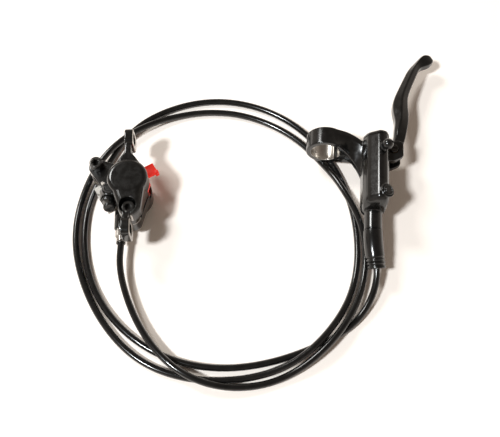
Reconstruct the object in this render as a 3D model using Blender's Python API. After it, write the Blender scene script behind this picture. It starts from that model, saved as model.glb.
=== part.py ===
"""Hydraulic disc brake for a bicycle: lever, two-piston caliper and one looped hose.

Metres, +Z up. The origin lies on the table, below the middle of the lever and caliper.
"""
import math

import bmesh
import bpy
import numpy as np
from mathutils import Matrix, Vector

# Fits
GAP = 0.0003
TINY = 0.000001

# Facets round a full turn
SIDES_FINE = 32
SIDES = 24
SIDES_SMALL = 16
SIDES_RING = 44
SIDES_BODY = 48

# Caliper placing and body
CALIPER_PLACE = (-0.1024, -0.03505, 0.0)
CALIPER_TURN = math.radians(2.0)
SEAM_HEIGHT = 0.021
POT_CENTRE = (-0.0035, 0.0025)
ROTOR_TURN = math.radians(28.0)
ROTOR_REACH = 0.0735
ROTOR_SWEEP = 0.0815
ROTOR_SLOT = 0.0034
POT_RADIUS = 0.0150
POT_FLAT = 0.0118
POT_RISE = 0.0210
POT_SHOULDER = 0.0035
OUTER_FLANGE = 0.0100
INNER_FLANGE = 0.0120
EDGE = 0.0010

# Caliper ears
EAR_SPAN = 0.074
EAR_HEIGHT = 0.0360
EAR_WIDTH = 0.0144
EAR_TALL = 0.0140
EAR_THICK = 0.0065
EAR_SLOT_WIDE = 0.0066
EAR_SLOT_TALL = 0.0093
EAR_CORNER = 0.0045
ARM_THICK = 0.0048
ARM_RISE = 0.0050
ARM_ROOT = 0.0015

# Caliper bores, pistons and pads
HOLE_SPARE = 0.0050
TOOL_TOP = 0.0600
PISTON_RADIUS = 0.0110
PISTON_LENGTH = 0.0105
PISTON_HOLLOW = 0.0080
PISTON_WEB = 0.0028
BORE_END = 0.0033
SEAL_WALL = 0.0017
SEAL_TALL = 0.0018
SEAL_OFFSET = 0.0021
SPACER_THICK = 0.0024
PAD_CLEAR = 0.00075
PAD_TRAVEL = 0.00035
LINING_THICK = 0.0020
LINING_MARGIN = 0.0008
PLATE_THICK = 0.0018
PAD_HALF_WIDTH = 0.0109
PAD_FRONT = 0.0110
PAD_BACK = 0.0125
TAB_FROM = 0.0045
TAB_TO = 0.0109
TAB_REACH = 0.0245
PIN_RADIUS = 0.0010
PIN_HEAD = 0.0014
PIN_BACK = 0.0172
PIN_SIDE = 0.0086
SPRING_SHEET = 0.0005
SPACER_TAB_FROM = 0.0019
SPACER_TAB_TO = 0.0114
SPACER_TAB_REACH = 0.0240

# Caliper fasteners and fluid fittings
BOLT_PLACES = ((-0.0277, 0.0169), (-0.0023, -0.0207))
BOLT_RADIUS = 0.0030
BOLT_HEAD_RADIUS = 0.0049
BOLT_HEAD_TALL = 0.0060
BOLT_SOCKET = 0.0025
BOLT_TAIL = 0.0045
BOLT_BOSS = (0.0066, 0.0070)
PLUG_PLACE = (-0.0175, -0.0042)
PLUG_RADIUS = 0.00395
PLUG_TALL = 0.0030
PLUG_BOSS_RADIUS = 0.0054
PLUG_BOSS_RISE = 0.0150
PLUG_BOSS_REACH = (0.0080, 0.0030)
NIPPLE_ROOT = (-0.0187, -0.0107, 0.0300)
NIPPLE_AIM = (0.0024, -0.0094, 0.0040)
NIPPLE_RADIUS = 0.0027
NIPPLE_LENGTH = 0.0078
CAP_RADIUS = 0.0040
CAP_LENGTH = 0.0092
PORT_SIDE = -0.0110
PORT_HEIGHT = 0.0115
PORT_RADIUS = 0.0055
PORT_END = 0.0270
PORT_DEPTH = 0.0134
FITTING_THREAD = 0.0040
FITTING_FLATS = 0.0080
FITTING_END = 0.0370
PASSAGE_RADIUS = 0.0009

# Lever placing and clamp
LEVER_PLACE = (0.0433, 0.0067, 0.0203)
LEVER_TURN = math.radians(-4.5)
CLAMP_BORE = 0.0222
CLAMP_OUTSIDE = 0.0298
CLAMP_WIDTH = 0.0145
CLAMP_SPLIT = 0.0030
CLAMP_BOLT_PLACE = 0.0178
CLAMP_BOLT_RADIUS = 0.0025
CLAMP_HEAD_RADIUS = 0.0042
CLAMP_HEAD_TALL = 0.0045
ARM_DEPTH = 0.0140
LUG_REACH = 0.0235

# Lever body and master cylinder
BARREL_SIDE = 0.0374
BODY_SECTION = (
    (0.0280, -0.0050), (0.0280, 0.0105), (0.0305, 0.0162), (0.0376, 0.0217), (0.0448, 0.0198),
    (0.0468, 0.0155), (0.0468, -0.0050), (0.0435, -0.0092), (0.0313, -0.0092),
)
BODY_CORE = (0.0374, 0.0060)
BODY_TOP = 0.0008
BODY_LENGTH = 0.0500
BODY_TAPER = 0.0075
LID_THICK = 0.0030
NECK_RADIUS = 0.00675
NECK_END = 0.0714
RESERVOIR_RADIUS = 0.0066
RESERVOIR_HEIGHT = 0.0118
RESERVOIR_LENGTH = 0.0440
MASTER_RADIUS = 0.0050
MASTER_START = 0.0145
MASTER_END = 0.0500
OUTLET_RADIUS = 0.0010
GLAND_RADIUS = 0.0043
GLAND_START = 0.0580

# Screws and plugs on the reservoir
BLEED_SCREW_ROOT = (0.0396, -0.0126, 0.0212)
BLEED_SCREW_AIM = (0.0050, 0.0015, 0.0046)
SIDE_PLUG_ROOT = (0.0436, -0.0470, 0.0172)
SIDE_PLUG_AIM = (0.6, 0.0, 0.8)
SIDE_PLUG_RADIUS = 0.0042
SIDE_PLUG_TALL = 0.0042
FLUID_PORT = 0.0006

# Lever blade and pivot
PIVOT_SIDE = 0.0515
PIVOT_BACK = 0.0050
PIVOT_RADIUS = 0.0022
BUSH_WALL = 0.0010
HUB_RADIUS = 0.0070
HUB_TALL = 0.0090
LUG_RADIUS = 0.0078
LUG_TALL = 0.0040
CAM_HALF = 0.0030
CAM_TALL = 0.0076
CAM_END = 0.0158
ROD_RADIUS = 0.0019
ROD_END = 0.0155
BLADE_STATIONS = (
    (0.0545, -0.0010, 0.0080, 0.0086, 0.0000), (0.0574, 0.0095, 0.0092, 0.0092, 0.0000),
    (0.0583, 0.0160, 0.0099, 0.0110, -0.0002), (0.0593, 0.0240, 0.0106, 0.0124, -0.0006),
    (0.0590, 0.0320, 0.0119, 0.0130, -0.0010), (0.0586, 0.0400, 0.0123, 0.0130, -0.0014),
    (0.0600, 0.0495, 0.0103, 0.0128, -0.0019), (0.0627, 0.0580, 0.0091, 0.0126, -0.0024),
    (0.0664, 0.0680, 0.0086, 0.0124, -0.0030), (0.0702, 0.0770, 0.0077, 0.0118, -0.0036),
    (0.0741, 0.0833, 0.0066, 0.0106, -0.0042), (0.0775, 0.0867, 0.0083, 0.0110, -0.0046),
    (0.0814, 0.0899, 0.0094, 0.0112, -0.0050), (0.0845, 0.0922, 0.0068, 0.0084, -0.0052),
    (0.0862, 0.0936, 0.0026, 0.0036, -0.0053),
)

# Hose, boot and hose fittings
HOSE_DIAMETER = 0.0050
HOSE_POINTS = 66
BOOT_POINTS = 13
BOOT_REACH = 0.0385
PORT_POINTS = 5
PORT_REACH = 0.0280
INSERT_HEAD = 0.0009
BOOT_ROUTE = (
    (0.0374, -0.0660, 0.0000), (0.0374, -0.0720, 0.0000), (0.0379, -0.0800, -0.0012),
    (0.0393, -0.0885, -0.0038), (0.0413, -0.0975, -0.0073),
)
BOOT_START = 0.0720
BOOT_RADII = (0.0077, 0.0076, 0.0074, 0.0071, 0.0068, 0.0065, 0.0058)
NUT_RADIUS = 0.0040
OLIVE_LENGTH = 0.0032
ROUTE = (
    (0.0637, -0.1277, 0.0038), (0.0337, -0.1482, 0.0026),
    (-0.0018, -0.1607, 0.0026), (-0.0383, -0.1647, 0.0026), (-0.0748, -0.1572, 0.0026),
    (-0.1063, -0.1377, 0.0026), (-0.1293, -0.1087, 0.0026), (-0.1408, -0.0737, 0.0026),
    (-0.1408, -0.0367, 0.0026), (-0.1288, -0.0012, 0.0026), (-0.1103, 0.0308, 0.0026),
    (-0.0798, 0.0513, 0.0026), (-0.0438, 0.0588, 0.0026), (-0.0073, 0.0518, 0.0026),
    (0.0242, 0.0323, 0.0026), (0.0472, 0.0033, 0.0026), (0.0612, -0.0312, 0.0026),
    (0.0657, -0.0682, 0.0026), (0.0602, -0.1047, 0.0030), (0.0427, -0.1367, 0.0080),
    (0.0152, -0.1612, 0.0071), (-0.0198, -0.1722, 0.0027), (-0.0568, -0.1722, 0.0026),
    (-0.0918, -0.1602, 0.0026), (-0.1193, -0.1352, 0.0026), (-0.1383, -0.1032, 0.0026),
    (-0.1483, -0.0677, 0.0026), (-0.1463, -0.0307, 0.0032), (-0.1313, 0.0033, 0.0078),
    (-0.1053, 0.0293, 0.0068), (-0.0723, 0.0448, 0.0027), (-0.0353, 0.0473, 0.0027),
    (0.0002, 0.0363, 0.0026), (0.0297, 0.0143, 0.0026), (0.0409, 0.0008, 0.0027),
    (0.0512, -0.0155, 0.0060), (0.0595, -0.0327, 0.0084), (0.0665, -0.0497, 0.0086),
    (0.0702, -0.0862, 0.0061), (0.0597, -0.1217, 0.0076), (0.0377, -0.1512, 0.0079), (0.0072, -0.1717, 0.0028), (-0.0288, -0.1787, 0.0052),
    (-0.0638, -0.1687, 0.0090), (-0.0903, -0.1427, 0.0087), (-0.1068, -0.1097, 0.0092),
    (-0.1121, -0.0837, 0.0108),
)

STOCK = {}


def material(name, colour, roughness, metallic):
    """Return a Principled finish, made once for each name."""
    if name not in STOCK:
        stuff = bpy.data.materials.new(name)
        stuff.use_nodes = True
        shader = stuff.node_tree.nodes["Principled BSDF"]
        shader.inputs["Base Color"].default_value = (*colour, 1.0)
        shader.inputs["Roughness"].default_value = roughness
        shader.inputs["Metallic"].default_value = metallic
        STOCK[name] = stuff
    return STOCK[name]


def black_casting():
    return material("satin_black_casting", (0.015, 0.015, 0.015), 0.38, 0.0)


def bright_steel():
    return material("bright_steel", (0.62, 0.60, 0.57), 0.3, 1.0)


def dark_steel():
    return material("dark_steel", (0.03, 0.03, 0.03), 0.3, 0.6)


def black_rubber():
    return material("black_rubber", (0.010, 0.010, 0.010), 0.3, 0.0)


def seal_rubber():
    return material("seal_rubber", (0.03, 0.03, 0.03), 0.6, 0.0)


def red_plastic():
    return material("red_plastic", (0.62, 0.02, 0.01), 0.35, 0.0)


def friction_stuff():
    return material("friction_lining", (0.09, 0.08, 0.07), 0.85, 0.1)


def phenolic():
    return material("piston_plastic", (0.20, 0.18, 0.15), 0.5, 0.0)


def empty(name, parent, location, turn):
    """Add an axis that pieces are parented to."""
    frame = bpy.data.objects.new(name, None)
    bpy.context.scene.collection.objects.link(frame)
    frame.parent = parent
    frame.location = location
    frame.rotation_euler = turn
    return frame


def add(name, shape, frame, stuff, location=(0, 0, 0), turn=(0, 0, 0), sharp=32.0):
    """Turn a bmesh into an object in its parent's frame."""
    bmesh.ops.remove_doubles(shape, verts=shape.verts, dist=TINY)
    bmesh.ops.recalc_face_normals(shape, faces=shape.faces)
    mesh = bpy.data.meshes.new(name)
    shape.to_mesh(mesh)
    shape.free()
    mesh.shade_smooth()
    mesh.set_sharp_from_angle(angle=math.radians(sharp))
    item = bpy.data.objects.new(name, mesh)
    bpy.context.scene.collection.objects.link(item)
    item.parent = frame
    item.location = location
    item.rotation_euler = turn
    if stuff:
        mesh.materials.append(stuff)
    return item


def combine(target, tool, operation):
    """Join or cut the target with a hidden tool."""
    tool.hide_render = True
    tool.display_type = "WIRE"
    step = target.modifiers.new(tool.name, "BOOLEAN")
    step.operation = operation
    step.solver = "EXACT"
    step.object = tool


def join(target, tool):
    combine(target, tool, "UNION")


def cut(target, tool):
    combine(target, tool, "DIFFERENCE")


def circle(radius, count=SIDES_FINE, centre=(0.0, 0.0)):
    """Points of a circle in a plane."""
    angles = [2 * math.pi * step / count for step in range(count)]
    return [(centre[0] + radius * math.cos(a), centre[1] + radius * math.sin(a)) for a in angles]


def hull(points):
    """Convex outline round the points, anticlockwise."""
    ordered = sorted(set((round(x, 7), round(y, 7)) for x, y in points))

    def half(run):
        chain = []
        for point in run:
            while len(chain) > 1:
                (ax, ay), (bx, by) = chain[-2], chain[-1]
                if (bx - ax) * (point[1] - ay) - (by - ay) * (point[0] - ax) > 1e-12:
                    break
                chain.pop()
            chain.append(point)
        return chain[:-1]

    return half(ordered) + half(ordered[::-1])


def link_outline(*rounds, count=SIDES):
    """Convex outline round several (x, y, radius) circles."""
    points = []
    for x, y, radius in rounds:
        points += circle(radius, count, (x, y))
    return hull(points)


def rounded_box(low, high, radius, count=4):
    """Rectangle outline with round corners, anticlockwise."""
    corners = (
        (high[0] - radius, low[1] + radius, -90), (high[0] - radius, high[1] - radius, 0),
        (low[0] + radius, high[1] - radius, 90), (low[0] + radius, low[1] + radius, 180),
    )
    points = []
    for x, y, start in corners:
        for step in range(count + 1):
            angle = math.radians(start + 90 * step / count)
            points.append((x + radius * math.cos(angle), y + radius * math.sin(angle)))
    return points


def inset(outline, depth):
    """Outline moved inwards along its mitred corners."""
    moved = []
    count = len(outline)
    for index, (x, y) in enumerate(outline):
        before = Vector((x - outline[index - 1][0], y - outline[index - 1][1])).normalized()
        after_point = outline[(index + 1) % count]
        after = Vector((after_point[0] - x, after_point[1] - y)).normalized()
        normal = Vector((-before.y - after.y, before.x + after.x)).normalized()
        spread = max(0.5, normal.dot(Vector((-after.y, after.x))))
        moved.append((x + normal.x * depth / spread, y + normal.y * depth / spread))
    return moved


def loft(rings, ring_closed=False):
    """Skin equal rings of points, with end caps or joined round."""
    shape = bmesh.new()
    loops = [[shape.verts.new(point) for point in ring] for ring in rings]
    count = len(rings[0])
    pairs = list(zip(loops, loops[1:]))
    if ring_closed:
        pairs.append((loops[-1], loops[0]))
    for first, second in pairs:
        for index in range(count):
            following = (index + 1) % count
            shape.faces.new((first[index], first[following], second[following], second[index]))
    if not ring_closed:
        shape.faces.new(loops[0][::-1])
        shape.faces.new(loops[-1])
    return shape


def prism(outline, low, high, edge_low=0.0, edge_high=0.0):
    """Upright solid of an outline, with chamfered rims where asked."""
    levels = []
    if edge_low:
        levels.append((inset(outline, edge_low), low))
    levels.append((outline, low + edge_low))
    levels.append((outline, high - edge_high))
    if edge_high:
        levels.append((inset(outline, edge_high), high))
    return loft([[(x, y, z) for x, y in ring] for ring, z in levels])


def lathe(profile, count=SIDES, ring=False):
    """Turn an (r, h) profile round Z; a ring profile is closed on itself."""
    shape = bmesh.new()
    dots = [shape.verts.new((r, 0.0, h)) for r, h in profile]
    pairs = [pair for pair in zip(dots, dots[1:]) if pair[0].co.x > TINY or pair[1].co.x > TINY]
    runs = [shape.edges.new(pair) for pair in pairs]
    if ring:
        runs.append(shape.edges.new((dots[-1], dots[0])))
    bmesh.ops.spin(
        shape, geom=dots + runs, cent=(0, 0, 0), axis=(0, 0, 1),
        angle=2 * math.pi, steps=count, use_merge=False,
    )
    return shape


def bar(radius, low, high, count=SIDES, edge=0.0):
    """Solid round bar along Z, with a chamfer at both ends if asked."""
    profile = [(0.0, low)]
    if edge:
        profile += [(radius - edge, low), (radius, low + edge)]
        profile += [(radius, high - edge), (radius - edge, high)]
    else:
        profile += [(radius, low), (radius, high)]
    return lathe(profile + [(0.0, high)], count)


def tube(outer, inner, low, high, count=SIDES_SMALL):
    """Plain ring along Z."""
    return lathe([(outer, low), (outer, high), (inner, high), (inner, low)], count, ring=True)


def aim(direction):
    """Rotation that turns +Z to the direction."""
    return Vector(direction).to_track_quat("Z", "Y").to_euler()


def capped_screw(name, frame, place, turn, sizes, stuff):
    """Socket head screw: head upwards at h = 0, shank down."""
    shank, length, head, tall, socket = sizes
    profile = [
        (0.0, -length), (shank - 0.0004, -length), (shank, -length + 0.0004), (shank, 0.0),
        (head, 0.0), (head, tall - 0.0006), (head - 0.0006, tall), (0.0, tall),
    ]
    screw = add(name, lathe(profile, SIDES_SMALL), frame, stuff, place, turn)
    hexagon = circle(socket / math.cos(math.pi / 6), 6)
    drive = add(name + "_drive", prism(hexagon, tall * 0.4, tall + GAP), frame, None, place, turn)
    cut(screw, drive)
    return screw


def smooth_route(points, stations):
    """Points on a natural cubic spline through the route, at lengths along it."""
    knots = np.array(points, dtype=float)
    steps = np.linalg.norm(np.diff(knots, axis=0), axis=1)
    along = np.concatenate([[0.0], np.cumsum(steps)])
    size = len(knots)
    grid = np.eye(size)
    wanted = np.zeros((size, 3))
    for index in range(1, size - 1):
        before, after = steps[index - 1], steps[index]
        grid[index, index - 1:index + 2] = (before, 2 * (before + after), after)
        rise = (knots[index + 1] - knots[index]) / after
        wanted[index] = 6 * (rise - (knots[index] - knots[index - 1]) / before)
    bend = np.linalg.solve(grid, wanted)
    route = []
    for place in stations(along[-1]):
        index = min(int(np.searchsorted(along, place, side="right")) - 1, size - 2)
        span = steps[index]
        left, right = along[index + 1] - place, place - along[index]
        curve = (bend[index] * left ** 3 + bend[index + 1] * right ** 3) / (6 * span)
        line = (knots[index] / span - bend[index] * span / 6) * left
        line = line + (knots[index + 1] / span - bend[index + 1] * span / 6) * right
        route.append(curve + line)
    return route


def half_level(side, height):
    """Height above the table of a level measured from the seam into one half."""
    return SEAM_HEIGHT + side * height


def level_prism(side, outline, low, high, edge_high=0.0):
    """Prism whose levels are measured from the seam into one half."""
    rings = [(outline, low), (outline, high - edge_high)]
    if edge_high:
        rings.append((inset(outline, edge_high), high))
    return loft([[(x, y, half_level(side, h)) for x, y in ring] for ring, h in rings])


def level_lathe(side, profile, count=SIDES, ring=False):
    """Turned solid whose heights are measured from the seam into one half."""
    return lathe([(r, half_level(side, h)) for r, h in profile], count, ring)


LINING_LOW = SPACER_THICK / 2 + PAD_CLEAR
PLATE_LOW = LINING_LOW + LINING_THICK + GAP
PISTON_LOW = PLATE_LOW + PLATE_THICK + GAP
POCKET_DEPTH = PISTON_LOW + 0.0010
PISTON_TOP = PISTON_LOW + PISTON_LENGTH
BORE_RADIUS = PISTON_RADIUS + GAP
SEAL_LOW = POCKET_DEPTH + SEAL_OFFSET
SEAM_HALF = GAP / 2


def ear_outline(sign):
    """Ear profile in the plane of its mounting face."""
    middle = sign * EAR_SPAN / 2
    low = (middle - EAR_WIDTH / 2, EAR_HEIGHT - EAR_TALL / 2)
    high = (middle + EAR_WIDTH / 2, EAR_HEIGHT + EAR_TALL / 2)
    return rounded_box(low, high, EAR_CORNER, 5)


def slot_outline(middle):
    """Upright slot with round ends."""
    half = (EAR_SLOT_TALL - EAR_SLOT_WIDE) / 2
    ends = (middle, EAR_HEIGHT - half, EAR_SLOT_WIDE / 2), (middle, EAR_HEIGHT + half, EAR_SLOT_WIDE / 2)
    return link_outline(*ends, count=SIDES_SMALL)


def side_prism(outline, low, high, edge=0.0):
    """Solid of a (T, Z) outline that runs along the caliper's N axis."""
    rings = []
    if edge:
        rings.append((inset(outline, edge), low))
    rings.append((outline, low + edge))
    rings.append((outline, high - edge))
    if edge:
        rings.append((inset(outline, edge), high))
    return loft([[(n, t, z) for t, z in ring] for ring, n in rings])


def add_ears(half, frame):
    """Two slotted ears on thin arms, joined to the outer half."""
    arm_high = EAR_HEIGHT + ARM_RISE
    arm_low = half_level(1, OUTER_FLANGE) - ARM_ROOT
    for name, sign in (("upper", 1), ("lower", -1)):
        middle = sign * EAR_SPAN / 2
        root = sign * (POT_RADIUS - 0.0010) + POT_CENTRE[1]
        neck = middle - sign * EAR_WIDTH * 0.45
        waist = root + (neck - root) * 0.45
        back = -EAR_THICK + 0.0003
        arm = [
            (POT_CENTRE[0] - 0.0080, root), (POT_CENTRE[0] + 0.0080, root),
            (back + ARM_THICK, waist), (back + ARM_THICK, neck), (back, neck), (back, waist),
        ]
        if sign < 0:
            arm = arm[::-1]
        arm_solid = prism(arm, arm_low, arm_high, EDGE / 2, EDGE)
        join(half, add(name + "_arm", arm_solid, frame, None))
        ear = side_prism(ear_outline(sign), -EAR_THICK, 0.0, 0.0006)
        join(half, add(name + "_ear", ear, frame, None))
        slot = side_prism(slot_outline(middle), -EAR_THICK - 0.001, 0.001)
        cut(half, add(name + "_ear_slot", slot, frame, None))


def half_body(name, side, frame, flange):
    """Pot, flange and bolt bosses shared by both halves."""
    px, py = POT_CENTRE
    profile = [
        (0.0, SEAM_HALF), (POT_RADIUS, SEAM_HALF), (POT_RADIUS, POT_RISE - POT_SHOULDER),
        (POT_RADIUS - 0.0009, POT_RISE - POT_SHOULDER * 0.45),
        (POT_FLAT, POT_RISE - 0.0002), (POT_FLAT - 0.0006, POT_RISE), (0.0, POT_RISE),
    ]
    half = add(name, level_lathe(side, profile, SIDES_FINE), frame, black_casting(), (px, py, 0.0))
    wing = link_outline(
        (*BOLT_PLACES[0], BOLT_BOSS[0]), (px - 0.0040, py, 0.0100), (-0.0212, 0.0030, 0.0040),
    )
    tail = link_outline((*BOLT_PLACES[1], BOLT_BOSS[1]), (px, py, 0.0146))
    for part_name, outline in (("wing", wing), ("tail", tail)):
        solid = level_prism(side, outline, SEAM_HALF, flange, EDGE)
        join(half, add(name + "_" + part_name, solid, frame, None))
    return half


def cut_half(half, name, side, frame, rotor):
    """Pad pocket, piston bore, seal groove, rotor slot and bolt holes."""
    px, py = POT_CENTRE
    wide = PAD_HALF_WIDTH + 0.0005
    pocket = rounded_box((-0.040, -wide), (0.030, wide), 0.0002, 1)
    cut(half, add(name + "_pocket", level_prism(side, pocket, -GAP, POCKET_DEPTH), rotor, None))
    sweep = level_prism(side, circle(ROTOR_SWEEP, 72, (ROTOR_REACH, 0.0)), -GAP, ROTOR_SLOT / 2)
    cut(half, add(name + "_rotor_sweep", sweep, rotor, None))
    groove_low, groove_high = SEAL_LOW - GAP, SEAL_LOW + SEAL_TALL + GAP
    groove = BORE_RADIUS + SEAL_WALL + GAP
    bore = [
        (0.0, POCKET_DEPTH - 0.001), (BORE_RADIUS, POCKET_DEPTH - 0.001), (BORE_RADIUS, groove_low),
        (groove, groove_low), (groove, groove_high), (BORE_RADIUS, groove_high),
        (BORE_RADIUS, POT_RISE - BORE_END), (0.0, POT_RISE - BORE_END),
    ]
    cut(half, add(name + "_bore", level_lathe(side, bore, 32), frame, None, (px, py, 0.0)))
    for index, (x, y) in enumerate(BOLT_PLACES):
        hole = bar(BOLT_RADIUS + GAP, -HOLE_SPARE, TOOL_TOP, SIDES_SMALL)
        cut(half, add(f"{name}_bolt_hole_{index}", hole, frame, None, (x, y, 0.0)))
    pin_hole = bar(PIN_RADIUS + GAP, 0.0, TOOL_TOP, SIDES_SMALL)
    cut(half, add(name + "_pin_hole", pin_hole, rotor, None, (-PIN_BACK, PIN_SIDE, 0.0)))


def build_outer_half(frame, rotor):
    """Outboard half with the ears, the bleed boss and the passage plug."""
    half = half_body("caliper_outer_half", 1, frame, OUTER_FLANGE)
    x, y = PLUG_PLACE
    boss = link_outline((x, y, PLUG_BOSS_RADIUS), (x + PLUG_BOSS_REACH[0], y + PLUG_BOSS_REACH[1], PLUG_BOSS_RADIUS))
    boss_solid = level_prism(1, boss, SEAM_HALF, PLUG_BOSS_RISE, EDGE)
    join(half, add("plug_boss", boss_solid, frame, None))
    aimed = aim(NIPPLE_AIM)
    root = bar(CAP_RADIUS + 0.0010, -0.0085, 0.0, SIDES)
    join(half, add("nipple_boss", root, frame, None, NIPPLE_ROOT, aimed))
    add_ears(half, frame)
    cut_half(half, "outer", 1, frame, rotor)
    bolt_x, bolt_y = BOLT_PLACES[1]
    seat = bar(BOLT_HEAD_RADIUS + 0.0008, half_level(1, OUTER_FLANGE) + GAP / 2, TOOL_TOP, 30)
    cut(half, add("bolt_head_recess", seat, frame, None, (bolt_x, bolt_y, 0.0)))
    top = half_level(1, PLUG_BOSS_RISE)
    plug_seat = bar(PLUG_RADIUS + GAP, top - PLUG_TALL - GAP, top + 0.001, SIDES)
    cut(half, add("plug_seat", plug_seat, frame, None, (x, y, 0.0)))
    drilling = bar(PASSAGE_RADIUS, SEAM_HEIGHT - 0.001, top, 12)
    cut(half, add("outer_drilling", drilling, frame, None, (x, y, 0.0)))
    clear = bar(CAP_RADIUS + 0.0005, -GAP / 2, 0.0200, 26)
    cut(half, add("nipple_clearance", clear, frame, None, NIPPLE_ROOT, aimed))
    nipple_hole = bar(NIPPLE_RADIUS + GAP, -0.0045, 0.001, SIDES_SMALL)
    cut(half, add("nipple_hole", nipple_hole, frame, None, NIPPLE_ROOT, aimed))


def build_inner_half(frame, rotor):
    """Inboard half with the hose port."""
    half = half_body("caliper_inner_half", -1, frame, INNER_FLANGE)
    port = (PORT_SIDE, 0.0, PORT_HEIGHT)
    toward_hose = (math.pi / 2, 0.0, 0.0)
    boss = bar(PORT_RADIUS, 0.0060, PORT_END, 32, EDGE / 2)
    join(half, add("port_boss", boss, frame, None, port, toward_hose))
    cut_half(half, "inner", -1, frame, rotor)
    hole = bar(FITTING_THREAD + GAP, PORT_DEPTH, PORT_END + 0.001, SIDES_SMALL)
    cut(half, add("port_hole", hole, frame, None, port, toward_hose))
    offset = PORT_HEIGHT - 0.0030
    passage = bar(PASSAGE_RADIUS, 0.0030, PORT_DEPTH + 0.001, 12)
    cut(half, add("inner_drilling", passage, frame, None, (PORT_SIDE, 0.0, offset), toward_hose))


def pad_outline(shrink):
    """Friction pad outline in the rotor frame, without its hanging tab."""
    low = (-PAD_BACK + shrink, -PAD_HALF_WIDTH + shrink)
    high = (PAD_FRONT - shrink, PAD_HALF_WIDTH - shrink)
    return rounded_box(low, high, 0.0025, 4)


def plate_outline():
    """Backing plate with its hanging tab towards the rotor's rim."""
    half = PAD_HALF_WIDTH
    return [
        (PAD_FRONT - 0.002, -half), (PAD_FRONT, -half + 0.002), (PAD_FRONT, half - 0.002),
        (PAD_FRONT - 0.002, half), (-PAD_BACK, half), (-PAD_BACK, TAB_TO),
        (-TAB_REACH + 0.001, TAB_TO), (-TAB_REACH, TAB_TO - 0.001),
        (-TAB_REACH, TAB_FROM + 0.001), (-TAB_REACH + 0.001, TAB_FROM),
        (-PAD_BACK - 0.001, TAB_FROM), (-PAD_BACK, TAB_FROM - 0.001), (-PAD_BACK, -half),
    ]


def build_pads_and_pistons(frame, rotor):
    """One pad, piston and seal in each half, and the parts between the pads."""
    px, py = POT_CENTRE
    for name, side in (("outer", 1), ("inner", -1)):
        lining = level_prism(side, pad_outline(LINING_MARGIN), LINING_LOW, LINING_LOW + LINING_THICK)
        add(name + "_pad_lining", lining, rotor, friction_stuff())
        plate = level_prism(side, plate_outline(), PLATE_LOW, PLATE_LOW + PLATE_THICK)
        plate_item = add(name + "_pad_plate", plate, rotor, bright_steel())
        hole = bar(PIN_RADIUS + 0.0006, 0.0, TOOL_TOP, SIDES_SMALL)
        hole_item = add(name + "_pad_hole", hole, rotor, None, (-PIN_BACK, PIN_SIDE, 0.0))
        cut(plate_item, hole_item)
        cup = [
            (0.0, PISTON_TOP - PISTON_WEB), (PISTON_HOLLOW, PISTON_TOP - PISTON_WEB),
            (PISTON_HOLLOW, PISTON_LOW), (PISTON_RADIUS - 0.0003, PISTON_LOW),
            (PISTON_RADIUS, PISTON_LOW + 0.0003), (PISTON_RADIUS, PISTON_TOP - 0.0006),
            (PISTON_RADIUS - 0.0006, PISTON_TOP), (0.0, PISTON_TOP),
        ]
        add(name + "_piston", level_lathe(side, cup, 32), frame, phenolic(), (px, py, 0.0))
        inner, outer = BORE_RADIUS, BORE_RADIUS + SEAL_WALL
        ring = [
            (inner, SEAL_LOW), (outer, SEAL_LOW),
            (outer, SEAL_LOW + SEAL_TALL), (inner, SEAL_LOW + SEAL_TALL),
        ]
        seal = level_lathe(side, ring, 32, ring=True)
        add(name + "_piston_seal", seal, frame, seal_rubber(), (px, py, 0.0))
    build_spacer(rotor)
    build_pad_spring(rotor)
    pin_low = half_level(-1, INNER_FLANGE + 0.0010)
    pin_high = half_level(1, OUTER_FLANGE + GAP)
    profile = [
        (0.0, pin_low), (PIN_RADIUS, pin_low), (PIN_RADIUS, pin_high), (PIN_HEAD, pin_high),
        (PIN_HEAD, pin_high + 0.0010), (0.0, pin_high + 0.0010),
    ]
    add("pad_pin", lathe(profile, SIDES_SMALL), rotor, bright_steel(), (-PIN_BACK, PIN_SIDE, 0.0))


def build_spacer(rotor):
    """Transport spacer: a plate between the pads with a finger tab and a lip."""
    half = PAD_HALF_WIDTH - 0.0003
    back, front = -PAD_BACK + LINING_MARGIN, POT_RADIUS - 0.0005
    outline = [
        (back, -half), (front, -half), (front, SPACER_TAB_FROM),
        (SPACER_TAB_REACH, SPACER_TAB_FROM), (SPACER_TAB_REACH, SPACER_TAB_TO),
        (front, SPACER_TAB_TO), (front, half), (back, half),
    ]
    low, high = SEAM_HEIGHT - SPACER_THICK / 2, SEAM_HEIGHT + SPACER_THICK / 2
    spacer = add("pad_spacer", prism(outline, low, high), rotor, red_plastic())
    lip = rounded_box(
        (SPACER_TAB_REACH - 0.0022, SPACER_TAB_FROM - 0.0010),
        (SPACER_TAB_REACH + 0.0006, SPACER_TAB_FROM + 0.0022), 0.0004, 2,
    )
    join(spacer, add("spacer_lip", prism(lip, low - 0.0012, high + 0.0010), rotor, None))


def build_pad_spring(rotor):
    """Folded sheet spring between the backing plates, behind the spacer."""
    arm = PLATE_LOW - PAD_TRAVEL - GAP - SPRING_SHEET
    back, front = -TAB_REACH + 0.0010, -PAD_BACK + LINING_MARGIN - GAP
    sheet = SPRING_SHEET
    fold = [
        (back, arm), (front - sheet, arm), (front - sheet, -arm), (back, -arm),
        (back, -arm - sheet), (front, -arm - sheet), (front, arm + sheet), (back, arm + sheet),
    ]
    rings = [[(r, t, SEAM_HEIGHT + h) for r, h in fold] for t in (-0.0090, -0.0010)]
    add("pad_spring", loft(rings), rotor, bright_steel())


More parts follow.
